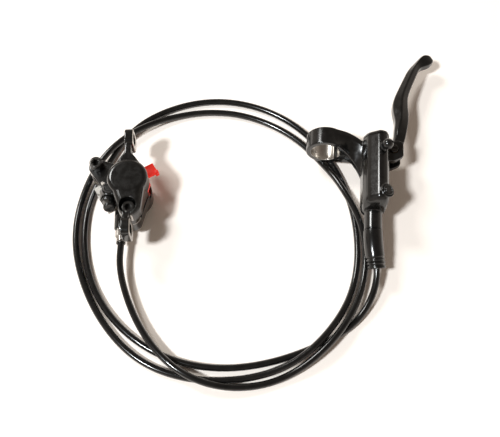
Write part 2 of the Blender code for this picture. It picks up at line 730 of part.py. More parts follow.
def build_caliper_fasteners(frame):
    """Body bolts, plug, passage ring, bleed nipple and hose fitting."""
    top = half_level(1, OUTER_FLANGE) + GAP
    length = top - BOLT_TAIL
    sizes = (BOLT_RADIUS, length, BOLT_HEAD_RADIUS, BOLT_HEAD_TALL, BOLT_SOCKET)
    for number, (x, y) in enumerate(BOLT_PLACES, 1):
        capped_screw(f"body_bolt_{number}", frame, (x, y, top), (0, 0, 0), sizes, dark_steel())
    x, y = PLUG_PLACE
    plug_top = half_level(1, PLUG_BOSS_RISE)
    plug = bar(PLUG_RADIUS, plug_top - PLUG_TALL, plug_top + 0.0004, SIDES, 0.0004)
    add("passage_plug", plug, frame, black_casting(), (x, y, 0.0))
    aimed = aim(NIPPLE_AIM)
    nipple = [
        (0.0, -0.0040), (NIPPLE_RADIUS, -0.0040), (NIPPLE_RADIUS, GAP),
        (NIPPLE_RADIUS + 0.0002, GAP), (NIPPLE_RADIUS + 0.0002, 0.0040), (0.0016, 0.0050),
        (0.0016, NIPPLE_LENGTH - 0.0020), (0.0021, NIPPLE_LENGTH - 0.0015),
        (0.0013, NIPPLE_LENGTH), (0.0, NIPPLE_LENGTH),
    ]
    add("bleed_nipple", lathe(nipple, SIDES_SMALL), frame, bright_steel(), NIPPLE_ROOT, aimed)
    inner = NIPPLE_RADIUS + 0.0002 + GAP
    low, high = 2 * GAP, CAP_LENGTH
    cap = [
        (0.0, NIPPLE_LENGTH + GAP), (0.0025, NIPPLE_LENGTH + GAP), (inner, 0.0045),
        (inner, low), (CAP_RADIUS - 0.0003, low), (CAP_RADIUS, low + 0.0004),
        (CAP_RADIUS, high - 0.0016), (CAP_RADIUS - 0.0005, high - 0.0005),
        (CAP_RADIUS - 0.0016, high), (0.0, high),
    ]
    add("nipple_cap", lathe(cap, SIDES), frame, black_rubber(), NIPPLE_ROOT, aimed)
    build_fitting(frame)


def build_fitting(frame):
    """Hollow connecting screw with its olive, hose head and end collar."""
    port = (PORT_SIDE, 0.0, PORT_HEIGHT)
    toward_hose = (math.pi / 2, 0.0, 0.0)
    inner = HOSE_DIAMETER / 2 + GAP
    start = PORT_DEPTH + GAP + 0.0012 + OLIVE_LENGTH + GAP
    shoulder = PORT_END + GAP
    profile = [
        (FITTING_THREAD, start), (FITTING_THREAD, shoulder - 0.0002), (0.0037, shoulder + 0.0002),
        (0.0037, shoulder + 0.0060), (0.0035, shoulder + 0.0064), (0.0035, FITTING_END - 0.0003), (0.0032, FITTING_END), (inner, FITTING_END),
        (inner, start),
    ]
    screw = add("hose_fitting", lathe(profile, SIDES, ring=True), frame, bright_steel(), port, toward_hose)
    hexagon = circle(FITTING_FLATS / 2 / math.cos(math.pi / 6), 6)
    nut = prism(hexagon, shoulder, shoulder + 0.0055, 0.0003, 0.0003)
    join(screw, add("fitting_hexagon", nut, frame, None, port, toward_hose))
    clear = bar(inner, start - 0.001, FITTING_END + 0.001, SIDES)
    cut(screw, add("fitting_bore", clear, frame, None, port, toward_hose))
    olive_low = PORT_DEPTH + GAP + 0.0012
    olive = [
        (inner, olive_low), (inner + 0.0006, olive_low), (FITTING_THREAD - 0.0002, olive_low + 0.0012),
        (FITTING_THREAD - 0.0002, olive_low + OLIVE_LENGTH - 0.0012),
        (inner + 0.0006, olive_low + OLIVE_LENGTH), (inner, olive_low + OLIVE_LENGTH),
    ]
    brass = material("brass", (0.55, 0.38, 0.12), 0.35, 1.0)
    add("caliper_olive", lathe(olive, SIDES_SMALL, ring=True), frame, brass, port, toward_hose)
    head = tube(HOSE_DIAMETER / 2, 0.0009, PORT_DEPTH + GAP, PORT_DEPTH + GAP + INSERT_HEAD)
    add("caliper_hose_insert", head, frame, bright_steel(), port, toward_hose)
    collar = tube(inner + 0.0007, inner, FITTING_END + GAP, FITTING_END + 0.0015, SIDES)
    add("hose_collar", collar, frame, dark_steel(), port, toward_hose)


def polar_ring(section, core, count, y, shrink=0.0):
    """Section outline met by evenly turned rays from its core, at one station."""
    outline = inset(section, shrink) if shrink else section
    ring = []
    for step in range(count):
        angle = 2 * math.pi * step / count
        dx, dz = math.cos(angle), math.sin(angle)
        reach = 0.0
        for index, (ax, az) in enumerate(outline):
            bx, bz = outline[(index + 1) % len(outline)]
            ex, ez = bx - ax, bz - az
            cross = dx * ez - dz * ex
            if abs(cross) < 1e-12:
                continue
            far = ((ax - core[0]) * ez - (az - core[1]) * ex) / cross
            along = ((ax - core[0]) * dz - (az - core[1]) * dx) / cross
            if far > 0 and -1e-9 <= along <= 1 + 1e-9:
                reach = max(reach, far)
        ring.append((core[0] + dx * reach, y, core[1] + dz * reach))
    return ring


def body_outline():
    """Body section, anticlockwise seen along the lever's axis."""
    return list(BODY_SECTION)[::-1]


def neck_ring(count, y, radius=NECK_RADIUS):
    """Round station of the neck."""
    angles = [2 * math.pi * step / count for step in range(count)]
    return [(BARREL_SIDE + radius * math.cos(a), y, radius * math.sin(a)) for a in angles]


def blend_ring(first, second, share, y):
    """Station part way between two rings."""
    mixed = []
    for a, b in zip(first, second):
        mixed.append((a[0] + (b[0] - a[0]) * share, y, a[2] + (b[2] - a[2]) * share))
    return mixed


def build_housing(frame):
    """One casting: split clamp ring, arm, reservoir, cylinder and pivot lugs."""
    count = SIDES_BODY
    outline = body_outline()
    end = -BODY_LENGTH
    full = polar_ring(outline, BODY_CORE, count, BODY_TOP)
    neck = neck_ring(count, end)
    rings = [full, blend_ring(full, full, 0.0, end)]
    for share, along in ((0.10, 0.35), (0.32, 0.65), (0.68, 0.88), (1.0, 1.0)):
        rings.append(blend_ring(full, neck, share, end - BODY_TAPER * along))
    rings.append(neck_ring(count, -NECK_END))
    housing = add("lever_housing", loft(rings), frame, black_casting(), sharp=24.0)
    half = CLAMP_WIDTH / 2
    depth = ARM_DEPTH / 2
    arm = [
        (0.0, -half + 0.0006), (CLAMP_BOLT_PLACE - 0.0010, -half - 0.0030), (0.0220, -half - 0.0075),
        (0.0262, -0.0205), (0.0288, -0.0270), (0.0310, -0.0320), (0.0380, -0.0320),
        (0.0380, 0.0000), (0.0300, 0.0004), (0.0240, 0.0028), (0.0150, 0.0058), (0.0, half - 0.0006),
    ]
    join(housing, add("clamp_arm", prism(arm, -depth, depth, EDGE, EDGE), frame, None))
    along = (math.pi / 2, 0.0, 0.0)
    ring = bar(CLAMP_OUTSIDE / 2, -half, half, SIDES_RING, EDGE / 2)
    join(housing, add("clamp_ring", ring, frame, None, turn=along))
    lug_low = -CLAMP_OUTSIDE / 2 + 0.0003
    lug_half = half - 0.0004
    lug = rounded_box((0.0, -lug_half), (LUG_REACH, lug_half), 0.003, 4)
    join(housing, add("clamp_lug", prism(lug, lug_low, -depth + 0.001, EDGE / 2), frame, None))
    for name, sign in (("upper", 1), ("lower", -1)):
        low = sign * HUB_TALL / 2
        high = low + sign * (LUG_TALL + GAP)
        lug_shape = link_outline((PIVOT_SIDE, -PIVOT_BACK, LUG_RADIUS), (0.0400, -0.0080, 0.0072))
        lug_solid = prism(lug_shape, min(low, high), max(low, high), EDGE / 2, EDGE / 2)
        join(housing, add(name + "_pivot_lug", lug_solid, frame, None))
    cut_housing(housing, frame)


def cut_housing(housing, frame):
    """Bores, pockets and the clamp split."""
    half = CLAMP_WIDTH
    along = (math.pi / 2, 0.0, 0.0)
    barrel = (BARREL_SIDE, 0.0, 0.0)
    clamp = bar(CLAMP_BORE / 2, -half, half, SIDES_BODY)
    cut(housing, add("clamp_bore", clamp, frame, None, turn=along))
    split_high = -ARM_DEPTH / 2 + 0.0015
    split = rounded_box((0.0, -half), (LUG_REACH + 0.002, half), 0.0002, 1)
    split_solid = prism(split, split_high - CLAMP_SPLIT, split_high)
    cut(housing, add("clamp_gap", split_solid, frame, None))
    hole = bar(CLAMP_BOLT_RADIUS + GAP, -0.020, 0.0030, SIDES_SMALL)
    cut(housing, add("clamp_bolt_hole", hole, frame, None, (CLAMP_BOLT_PLACE, 0.0, 0.0)))
    seat_high = -CLAMP_OUTSIDE / 2 + 0.0003 + 0.0020
    seat = bar(CLAMP_HEAD_RADIUS + GAP, -0.020, seat_high, SIDES)
    cut(housing, add("clamp_head_seat", seat, frame, None, (CLAMP_BOLT_PLACE, 0.0, 0.0)))
    gap = HUB_TALL / 2 + GAP
    pocket = [
        (0.0325, -MASTER_START - 0.0002), (0.0620, -MASTER_START - 0.0002),
        (0.0620, 0.0030), (0.0440, 0.0030), (0.0325, -0.0012),
    ]
    cut(housing, add("cam_pocket", prism(pocket, -gap, gap), frame, None))
    bore = [
        (0.0, MASTER_START - 0.003), (MASTER_RADIUS + GAP, MASTER_START - 0.003),
        (MASTER_RADIUS + GAP, MASTER_END), (OUTLET_RADIUS, MASTER_END + 0.002),
        (OUTLET_RADIUS, GLAND_START), (GLAND_RADIUS, GLAND_START),
        (GLAND_RADIUS, NECK_END + 0.001), (0.0, NECK_END + 0.001),
    ]
    cut(housing, add("master_bore", lathe(bore), frame, None, barrel, along))
    tank = bar(RESERVOIR_RADIUS, -0.010, RESERVOIR_LENGTH)
    cut(housing, add("reservoir_bore", tank, frame, None, (BARREL_SIDE, 0, RESERVOIR_HEIGHT), along))
    for number, place in enumerate((0.0320, 0.0345)):
        port = bar(FLUID_PORT, 0.0, RESERVOIR_HEIGHT, 8)
        cut(housing, add(f"fluid_port_{number}", port, frame, None, (BARREL_SIDE, -place, 0.0)))
    pin = bar(PIVOT_RADIUS + BUSH_WALL + 2 * GAP, -0.020, 0.020, SIDES_SMALL)
    cut(housing, add("pivot_hole", pin, frame, None, (PIVOT_SIDE, -PIVOT_BACK, 0.0)))


def build_lever_trim(frame):
    """Reservoir lid, diaphragm, bleed screw, side plug and clamp bolt."""
    outline = body_outline()
    count = SIDES_BODY
    start = BODY_TOP + GAP
    levels = ((start, 0.0), (start + LID_THICK * 0.45, 0.0002), (start + LID_THICK * 0.8, 0.0009))
    rings = [polar_ring(outline, BODY_CORE, count, y, shrink) for y, shrink in levels]
    rings.append(polar_ring(outline, BODY_CORE, count, start + LID_THICK, 0.0019))
    lid = add("reservoir_lid", loft(rings), frame, black_casting(), sharp=24.0)
    along = (math.pi / 2, 0.0, 0.0)
    tank = (BARREL_SIDE, 0.0, RESERVOIR_HEIGHT)
    spigot = bar(RESERVOIR_RADIUS - GAP, -start - 0.001, 0.0050)
    join(lid, add("lid_spigot", spigot, frame, None, tank, along))
    lug_top = HUB_TALL / 2 + LUG_TALL + 2 * GAP
    notch = prism(rounded_box((0.020, -0.010), (0.070, 0.020), 0.0005, 1), -0.030, lug_top)
    cut(lid, add("lid_notch", notch, frame, None))
    wall = 0.0006
    outer = RESERVOIR_RADIUS - GAP
    bag = [
        (0.0, 0.0275 - wall), (outer - 0.0033, 0.0275 - wall), (outer - 0.0012 - wall, 0.0247),
        (outer - 0.0012 - wall, 0.0056), (outer, 0.0056), (outer, 0.0066), (outer - 0.0012, 0.0070),
        (outer - 0.0012, 0.0250), (outer - 0.0030, 0.0275), (0.0, 0.0275),
    ]
    add("reservoir_diaphragm", lathe(bag, SIDES_SMALL), frame, seal_rubber(), tank, along)
    aimed = aim(BLEED_SCREW_AIM)
    knob = [
        (0.0, 0.0), (0.0024, 0.0), (0.0024, 0.0018), (0.0036, 0.0022), (0.0036, 0.0058),
        (0.0031, 0.0064), (0.0016, 0.0066), (0.0, 0.0066),
    ]
    root = Vector(BLEED_SCREW_ROOT) + Vector(BLEED_SCREW_AIM).normalized() * 0.0012
    add("bleed_screw", lathe(knob), frame, black_rubber(), root, aimed)
    ring = []
    for step in range(6):
        angle = 2 * math.pi * step / 6
        ring.append((0.0033 + 0.0006 * math.cos(angle), 0.0010 + 0.0006 * math.sin(angle)))
    add("bleed_o_ring", lathe(ring, SIDES_SMALL, ring=True), frame, seal_rubber(), root, aimed)
    plug_aim = aim(SIDE_PLUG_AIM)
    plug = bar(SIDE_PLUG_RADIUS, 0.0, SIDE_PLUG_TALL, SIDES, 0.0006)
    add("reservoir_plug", plug, frame, black_casting(), SIDE_PLUG_ROOT, plug_aim)
    bolt_place = (CLAMP_BOLT_PLACE, 0.0, -CLAMP_OUTSIDE / 2 + 0.0003 + 0.0020 - GAP)
    sizes = (CLAMP_BOLT_RADIUS, 0.0145, CLAMP_HEAD_RADIUS, CLAMP_HEAD_TALL * 0.3 + 0.0004, 0.0020)
    capped_screw("clamp_bolt", frame, bolt_place, (math.pi, 0, 0), sizes, bright_steel())


def plug_and_screw_seats(frame):
    """Seats in the casting for the bleed screw and the side plug."""
    housing = bpy.data.objects["lever_housing"]
    root = Vector(BLEED_SCREW_ROOT) + Vector(BLEED_SCREW_AIM).normalized() * 0.0012
    flat = bar(SIDE_PLUG_RADIUS, -0.0004 - GAP, 0.010, SIDES)
    cut(housing, add("bleed_flat", flat, frame, None, root, aim(BLEED_SCREW_AIM)))
    seat = bar(SIDE_PLUG_RADIUS + GAP, -GAP, 0.010, SIDES)
    cut(housing, add("side_plug_seat", seat, frame, None, SIDE_PLUG_ROOT, aim(SIDE_PLUG_AIM)))


def build_blade(frame):
    """Lever blade, turned about its pivot, with hub and cam arm."""
    pivot = Vector((PIVOT_SIDE, -PIVOT_BACK, 0.0))
    rings = []
    places = [Vector((x, y, z)) - pivot for x, y, _, _, z in BLADE_STATIONS]
    for index, (_, _, wide, tall, _) in enumerate(BLADE_STATIONS):
        before = places[max(index - 1, 0)]
        after = places[min(index + 1, len(places) - 1)]
        ahead = (after - before)
        ahead.z = 0.0
        ahead.normalize()
        across = Vector((ahead.y, -ahead.x, 0.0))
        ring = []
        for step in range(20):
            angle = 2 * math.pi * step / 20
            c, s = math.cos(angle), math.sin(angle)
            u = math.copysign(abs(c) ** 0.75, c) * wide / 2
            v = math.copysign(abs(s) ** 0.85, s) * tall / 2
            if s > 0:
                u -= wide * 0.14 * s
            ring.append(places[index] + across * u + Vector((0.0, 0.0, v)))
        rings.append(ring)
    blade = add("lever_blade", loft(rings), frame, black_casting(), pivot, sharp=28.0)
    hub = bar(HUB_RADIUS, -HUB_TALL / 2, HUB_TALL / 2, SIDES_FINE, EDGE / 2)
    join(blade, add("blade_hub", hub, frame, None, pivot))
    cam = rounded_box((-CAM_END, -CAM_HALF), (0.0, CAM_HALF), 0.0008, 2)
    join(blade, add("blade_cam", prism(cam, -CAM_TALL / 2, CAM_TALL / 2), frame, None, pivot))
    eye = bar(PIVOT_RADIUS + BUSH_WALL + 2 * GAP, -0.010, 0.010, SIDES_SMALL)
    cut(blade, add("blade_eye", eye, frame, None, pivot))
    bush_end = HUB_TALL / 2 + GAP + LUG_TALL
    outer = PIVOT_RADIUS + BUSH_WALL + GAP
    for name, sign in (("upper", 1), ("lower", -1)):
        low, high = sorted((sign * GAP, sign * (bush_end - 0.0004)))
        bush = tube(outer, PIVOT_RADIUS + GAP, low, high)
        add(name + "_pivot_bush", bush, frame, material("bronze", (0.4, 0.25, 0.1), 0.4, 1.0), pivot)
    pin = [
        (0.0, -bush_end - 0.0006), (PIVOT_RADIUS, -bush_end - 0.0006),
        (PIVOT_RADIUS, bush_end), (0.0034, bush_end), (0.0034, bush_end + 0.0008),
        (0.0028, bush_end + 0.0012), (0.0, bush_end + 0.0012),
    ]
    shifted = [(r, h + GAP) if h > 0 else (r, h) for r, h in pin]
    add("pivot_pin", lathe(shifted, SIDES_SMALL), frame, dark_steel(), pivot)


def build_master(frame):
    """Push rod, master piston, two cups and the return spring along the barrel."""
    barrel = (BARREL_SIDE, 0.0, 0.0)
    along = (math.pi / 2, 0.0, 0.0)
    start = PIVOT_BACK + CAM_HALF + GAP
    dome = []
    for step in range(6):
        angle = math.pi / 2 * step / 5
        dome.append((ROD_RADIUS * math.sin(angle), start + ROD_RADIUS * (1 - math.cos(angle))))
    rod = dome + [(ROD_RADIUS, ROD_END), (0.0, ROD_END)]
    add("push_rod", lathe(rod, SIDES_SMALL), frame, bright_steel(), barrel, along)
    back = ROD_END + GAP
    radius = MASTER_RADIUS - 0.0001
    piston = [
        (0.0, back), (radius - 0.0003, back), (radius, back + 0.0003), (radius, back + 0.0030),
        (0.0030, back + 0.0030), (0.0030, back + 0.0072), (radius, back + 0.0072),
        (radius, back + 0.0102), (0.0022, back + 0.0102), (0.0022, back + 0.0137),
        (0.0038, back + 0.0137), (0.0038, back + 0.0145), (0.0, back + 0.0145),
    ]
    dark = material("anodised_piston", (0.25, 0.20, 0.12), 0.35, 1.0)
    add("master_piston", lathe(piston, SIDES_SMALL), frame, dark, barrel, along)
    secondary = [
        (0.0033, back + 0.0034), (0.0044, back + 0.0034), (radius, back + 0.0062),
        (0.0046, back + 0.0066), (0.0033, back + 0.0055),
    ]
    add("secondary_cup", lathe(secondary, SIDES_SMALL, ring=True), frame, seal_rubber(), barrel, along)
    primary = [
        (0.0025, back + 0.0106), (0.0043, back + 0.0106), (radius, back + 0.0130),
        (0.0046, back + 0.0134), (0.0025, back + 0.0122),
    ]
    add("primary_cup", lathe(primary, SIDES_SMALL, ring=True), frame, seal_rubber(), barrel, along)
    build_return_spring(frame, barrel, along, back + 0.0145 + GAP)


def build_return_spring(frame, barrel, along, low):
    """Coil spring between the piston nose and the end of the bore."""
    turns, per_turn, wire, coil = 6, 8, 0.0004, 0.0034
    high = MASTER_END - 0.0006
    rings = []
    total = turns * per_turn
    for step in range(total + 1):
        angle = 2 * math.pi * step / per_turn
        height = low + wire + (high - low - 2 * wire) * step / total
        out = Vector((math.cos(angle), math.sin(angle), 0.0))
        ring = []
        for corner in range(4):
            turn = 2 * math.pi * corner / 4
            ring.append(out * (coil + wire * math.cos(turn)) + Vector((0, 0, height + wire * math.sin(turn))))
        rings.append(ring)
    add("return_spring", loft(rings), frame, bright_steel(), barrel, along)


def hose_stations(length):
    """Lengths along the hose: close in the boot and the port, wider between."""
    first = np.linspace(0.0, BOOT_REACH, BOOT_POINTS)
    middle = np.linspace(BOOT_REACH, length - PORT_REACH, HOSE_POINTS)[1:-1]
    last = np.linspace(length - PORT_REACH, length, PORT_POINTS)
    return np.concatenate([first, middle, last])


def hose_route():
    """Points of the whole hose, from the lever's gland to the caliper's port."""
    caliper = Matrix.Translation(CALIPER_PLACE) @ Matrix.Rotation(CALIPER_TURN, 4, "Z")
    lever = lever_matrix()
    gland = GLAND_START + 2 * GAP + INSERT_HEAD
    inside = [(BARREL_SIDE, -gland, 0.0)] + list(BOOT_ROUTE)
    head = PORT_DEPTH + 2 * GAP + INSERT_HEAD
    port = [
        (PORT_SIDE, -FITTING_END - 0.0040, PORT_HEIGHT), (PORT_SIDE, -FITTING_END + 0.0060, PORT_HEIGHT),
        (PORT_SIDE, -head, PORT_HEIGHT),
    ]
    first = [tuple(lever @ Vector(point)) for point in inside]
    last = [tuple(caliper @ Vector(point)) for point in port]
    floor = HOSE_DIAMETER / 2 + 0.00005
    route = smooth_route(first + list(ROUTE) + last, hose_stations)
    return [Vector((x, y, max(z, floor))) for x, y, z in route]


def lever_matrix():
    """Place of the lever's axes on the table."""
    return Matrix.Translation(LEVER_PLACE) @ Matrix.Rotation(LEVER_TURN, 4, "Z")


def sweep_rings(points, radii, count=SIDES):
    """Rings square to a route, one radius for each point."""
    rings = []
    for index, point in enumerate(points):
        ahead = points[min(index + 1, len(points) - 1)] - points[max(index - 1, 0)]
        ahead.normalize()
        side = Vector((1, 0, 0)) - ahead * ahead.x
        side.normalize()
        up = side.cross(ahead)
        ring = []
        for step in range(count):
            angle = 2 * math.pi * step / count
            offset = side * math.cos(angle) + up * math.sin(angle)
            ring.append(point + offset * radii[index])
        rings.append(ring)
    return rings


def build_boot(frame):
    """Drooping rubber boot over the hose, with a nut and olive inside the neck."""
    back = lever_matrix().inverted()
    along_hose = [back @ point for point in hose_route()[:BOOT_POINTS]]
    line = [point for point in along_hose if point.y < -BOOT_START]
    count = len(line)
    radii = []
    for index in range(count):
        share = index / (count - 1) * (len(BOOT_RADII) - 1)
        low = min(int(share), len(BOOT_RADII) - 2)
        radii.append(BOOT_RADII[low] + (BOOT_RADII[low + 1] - BOOT_RADII[low]) * (share - low))
    inner_radius = HOSE_DIAMETER / 2 + GAP
    outer = sweep_rings(line, radii)
    inner = sweep_rings(line, [inner_radius] * count)
    rings = outer + inner[::-1]
    boot = add("hose_boot", loft(rings, ring_closed=True), frame, black_rubber())
    along = (math.pi / 2, 0.0, 0.0)
    barrel = (BARREL_SIDE, 0.0, 0.0)
    nut_start = GLAND_START + 0.0015 + OLIVE_LENGTH + GAP
    nut_end = BOOT_START + 0.0020
    seat = bar(NUT_RADIUS + GAP, nut_start, nut_end + GAP, SIDES_SMALL)
    cut(boot, add("boot_nut_seat", seat, frame, None, barrel, along))
    nut = tube(NUT_RADIUS, inner_radius, nut_start, nut_end)
    add("hose_nut", nut, frame, bright_steel(), barrel, along)
    low = GLAND_START + 0.0015
    olive = [
        (inner_radius, low), (inner_radius + 0.0005, low), (NUT_RADIUS - 0.0001, low + 0.0012),
        (NUT_RADIUS - 0.0001, low + OLIVE_LENGTH - 0.0012),
        (inner_radius + 0.0005, low + OLIVE_LENGTH), (inner_radius, low + OLIVE_LENGTH),
    ]
    brass = material("brass", (0.55, 0.38, 0.12), 0.35, 1.0)
    add("lever_olive", lathe(olive, SIDES_SMALL, ring=True), frame, brass, barrel, along)
    head = tube(HOSE_DIAMETER / 2, 0.0009, GLAND_START + GAP, GLAND_START + GAP + INSERT_HEAD)
    add("lever_hose_insert", head, frame, bright_steel(), barrel, along)


def build_hose():
    """The whole hose as one bevelled curve."""
    route = hose_route()
    curve = bpy.data.curves.new("hose", "CURVE")
    curve.dimensions = "3D"
    curve.bevel_depth = HOSE_DIAMETER / 2
    curve.bevel_resolution = 3
    curve.use_fill_caps = True
    spline = curve.splines.new("POLY")
    spline.points.add(len(route) - 1)
    for point, place in zip(spline.points, route):
        point.co = (*place, 1.0)
    curve.materials.append(black_rubber())
    hose = bpy.data.objects.new("hose", curve)
    bpy.context.scene.collection.objects.link(hose)


def main():
    for item in list(bpy.data.objects):
        bpy.data.objects.remove(item, do_unlink=True)
    caliper = empty("caliper_frame", None, CALIPER_PLACE, (0, 0, CALIPER_TURN))
    rotor = empty("rotor_frame", caliper, (*POT_CENTRE, 0.0), (0, 0, ROTOR_TURN))
    build_outer_half(caliper, rotor)
    build_inner_half(caliper, rotor)
    build_pads_and_pistons(caliper, rotor)
    build_caliper_fasteners(caliper)
    lever = empty("lever_frame", None, LEVER_PLACE, (0, 0, LEVER_TURN))
    build_housing(lever)
    plug_and_screw_seats(lever)
    build_lever_trim(lever)
    build_blade(lever)
    build_master(lever)
    build_boot(lever)
    build_hose()


main()
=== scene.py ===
"""Dressed model of a bicycle's hydraulic disc brake: lever, two-piston caliper and one looped hose."""
import logging
import math
from dataclasses import dataclass
from enum import Enum
from typing import Iterable, Sequence

import bmesh
import bpy
import numpy as np
from mathutils import Matrix, Vector

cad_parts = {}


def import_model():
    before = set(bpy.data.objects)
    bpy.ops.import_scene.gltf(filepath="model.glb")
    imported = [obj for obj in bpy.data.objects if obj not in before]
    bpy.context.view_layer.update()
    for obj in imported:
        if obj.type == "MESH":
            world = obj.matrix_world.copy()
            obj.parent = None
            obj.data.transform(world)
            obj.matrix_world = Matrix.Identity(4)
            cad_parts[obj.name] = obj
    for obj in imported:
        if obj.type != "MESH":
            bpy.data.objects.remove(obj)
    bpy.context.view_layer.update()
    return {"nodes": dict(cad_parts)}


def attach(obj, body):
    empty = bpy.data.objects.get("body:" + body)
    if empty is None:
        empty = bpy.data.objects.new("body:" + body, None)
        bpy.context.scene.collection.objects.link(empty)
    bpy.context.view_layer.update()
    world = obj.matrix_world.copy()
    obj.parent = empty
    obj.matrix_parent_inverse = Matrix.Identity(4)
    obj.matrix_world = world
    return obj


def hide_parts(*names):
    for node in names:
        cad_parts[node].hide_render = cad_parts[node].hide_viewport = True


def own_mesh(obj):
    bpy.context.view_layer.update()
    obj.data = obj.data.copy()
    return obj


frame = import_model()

LOG = logging.getLogger("disc_brake")

Point = tuple[float, float, float]
Spot = tuple[float, float]
Colour = tuple[float, float, float]
Item = bpy.types.Object
Paint = bpy.types.Material
Socket = bpy.types.NodeSocket
Mesh = bmesh.types.BMesh

GAP = 0.0003
RIM = 0.0006
NOISE_PER_MILLIMETRE = 1000.0
MOST_TRIANGLES = 190_000
LEVER_GRID = 0.00030
CAST_GRID = 0.00028
CAST_PASSES = 5
FORGED_PASSES = 2
NUT_BORE = 0.0043
PIN_BORE = 0.0013


class Body(Enum):
    """The bodies that dressed pieces move with."""

    ROOT = "root"
    ARM = "lever_arm"


class Operation(Enum):
    """What a Boolean does with its tools."""

    JOIN = "UNION"
    CUT = "DIFFERENCE"


class Zone(Enum):
    """How a machined zone on a casting is bounded."""

    BORE = "bore"
    FACE = "face"
    BAND = "band"


# finishes


class Nodes:
    """One node tree, filled by short calls."""

    def __init__(self, tree: bpy.types.NodeTree) -> None:
        """Empty the tree."""
        self.tree = tree
        tree.nodes.clear()

    def feed(self, socket: Socket, value: object) -> None:
        """Link a socket to another one, or set its value.

        Args:
            socket: Input to fill.
            value: An output socket, a number, a vector or a colour.
        """
        if isinstance(value, Socket):
            self.tree.links.new(value, socket)
        elif isinstance(value, tuple) and socket.type == "RGBA":
            socket.default_value = (*value, 1.0)
        else:
            socket.default_value = value

    def node(self, kind: str, values: dict[str | int, object], **settings: object) -> bpy.types.Node:
        """Add a node.

        Args:
            kind: Type name of the node.
            values: An output socket or a constant for each input to fill.
            settings: Other properties of the node.

        Returns:
            The node.
        """
        made = self.tree.nodes.new(kind)
        for name, value in settings.items():
            setattr(made, name, value)
        for name, value in values.items():
            self.feed(made.inputs[name], value)
        return made


class Graph(Nodes):
    """Node tree of one material."""

    def __init__(self, name: str) -> None:
        """Start a material with a shader and an output.

        Args:
            name: Name of the material.
        """
        self.material = bpy.data.materials.new(name)
        self.material.use_nodes = True
        super().__init__(self.material.node_tree)
        self.shader = self.node("ShaderNodeBsdfPrincipled", {})
        self.output = self.node("ShaderNodeOutputMaterial", {0: self.shader.outputs[0]})
        self.place = self.node("ShaderNodeTexCoord", {}).outputs["Object"]

    def math(self, operation: str, first: object, second: object = 0.0) -> Socket:
        """Arithmetic on two numbers."""
        return self.node("ShaderNodeMath", {0: first, 1: second}, operation=operation).outputs[0]

    def vector(self, operation: str, first: object, second: object, out: str = "Vector") -> Socket:
        """Arithmetic on two vectors.

        Args:
            operation: Name of the vector operation.
            first: Socket or constant.
            second: Socket or constant.
            out: Output to return, Vector or Value.

        Returns:
            The chosen output.
        """
        return self.node("ShaderNodeVectorMath", {0: first, 1: second}, operation=operation).outputs[out]

    def span(self, value: object, low: float, high: float, start: float = 0.0, end: float = 1.0) -> Socket:
        """Map a number smoothly from one range to another, clamped."""
        values = {"Value": value, "From Min": low, "From Max": high, "To Min": start, "To Max": end}
        return self.node("ShaderNodeMapRange", values, interpolation_type="SMOOTHSTEP").outputs["Result"]

    def mix(self, share: object, first: object, second: object) -> Socket:
        """Blend two colours by a share."""
        return self.node("ShaderNodeMix", {0: share, 6: first, 7: second}, data_type="RGBA").outputs[2]

    def noise(self, per_millimetre: float, detail: float = 3.0, stretch: Point = (1.0, 1.0, 1.0)) -> Socket:
        """Noise at a real scale.

        Args:
            per_millimetre: Features in one millimetre.
            detail: Octaves.
            stretch: Multipliers of the coordinates along X, Y and Z.

        Returns:
            The noise value, about 0.3 to 0.7.
        """
        place = self.place
        if stretch != (1.0, 1.0, 1.0):
            place = self.vector("MULTIPLY", place, stretch)
        scale = per_millimetre * NOISE_PER_MILLIMETRE
        values = {"Scale": scale, "Detail": detail, "Roughness": 0.6, "Vector": place}
        return self.node("ShaderNodeTexNoise", values).outputs["Fac"]

    def bump(self, height: object, depth: float, strength: float) -> Socket:
        """Normal from a height in the range 0 to 1.

        Args:
            height: Height socket.
            depth: Depth of the full range, in metres.
            strength: Strength of the effect.

        Returns:
            The normal.
        """
        values = {"Distance": depth, "Strength": strength, "Height": height}
        return self.node("ShaderNodeBump", values).outputs["Normal"]

    def edges(self, low: float, high: float) -> Socket:
        """Share of sharp edge, from how pointed the surface is, used to place a painted edge highlight."""
        return self.span(self.node("ShaderNodeNewGeometry", {}).outputs["Pointiness"], low, high)

    def surface(self, values: dict[str, object]) -> Paint:
        """Fill inputs of the shader and hand over the material."""
        for name, value in values.items():
            self.feed(self.shader.inputs[name], value)
        return self.material


@dataclass(frozen=True)
class Patch:
    """A machined zone on a casting, in the row frame.

    Attributes:
        zone: How it is bounded.
        point: A point on its axis or plane.
        axis: Unit direction of the axis, or of the plane's normal.
        limit: Radius, or depth below the plane, or half thickness of the band.
        guard: Least distance from the guard point along the guard axis, for a face.
        guard_axis: Unit direction along which the guard is measured.
    """

    zone: Zone
    point: Point
    axis: Point
    limit: float
    guard: float = 0.0
    guard_axis: Point = (0.0, 1.0, 0.0)

    def mask(self, graph: Graph) -> Socket:
        """Share of the surface that is machined, 0 or 1 with a soft edge of 0.06 mm."""
        soft = 0.00003
        offset = graph.vector("SUBTRACT", graph.place, self.point)
        if self.zone is Zone.BORE:
            across = graph.vector("CROSS_PRODUCT", offset, self.axis)
            far = graph.vector("LENGTH", across, (0.0, 0.0, 0.0), "Value")
            return graph.span(far, self.limit - soft, self.limit + soft, 1.0, 0.0)
        depth = graph.vector("DOT_PRODUCT", offset, self.axis, "Value")
        if self.zone is Zone.BAND:
            depth = graph.math("ABSOLUTE", depth)
            return graph.span(depth, self.limit - soft, self.limit + soft, 1.0, 0.0)
        face = graph.span(depth, -self.limit - soft, -self.limit + soft)
        side = graph.vector("DOT_PRODUCT", offset, self.guard_axis, "Value")
        side = graph.math("ABSOLUTE", side)
        return graph.math("MULTIPLY", face, graph.span(side, self.guard, self.guard + soft))


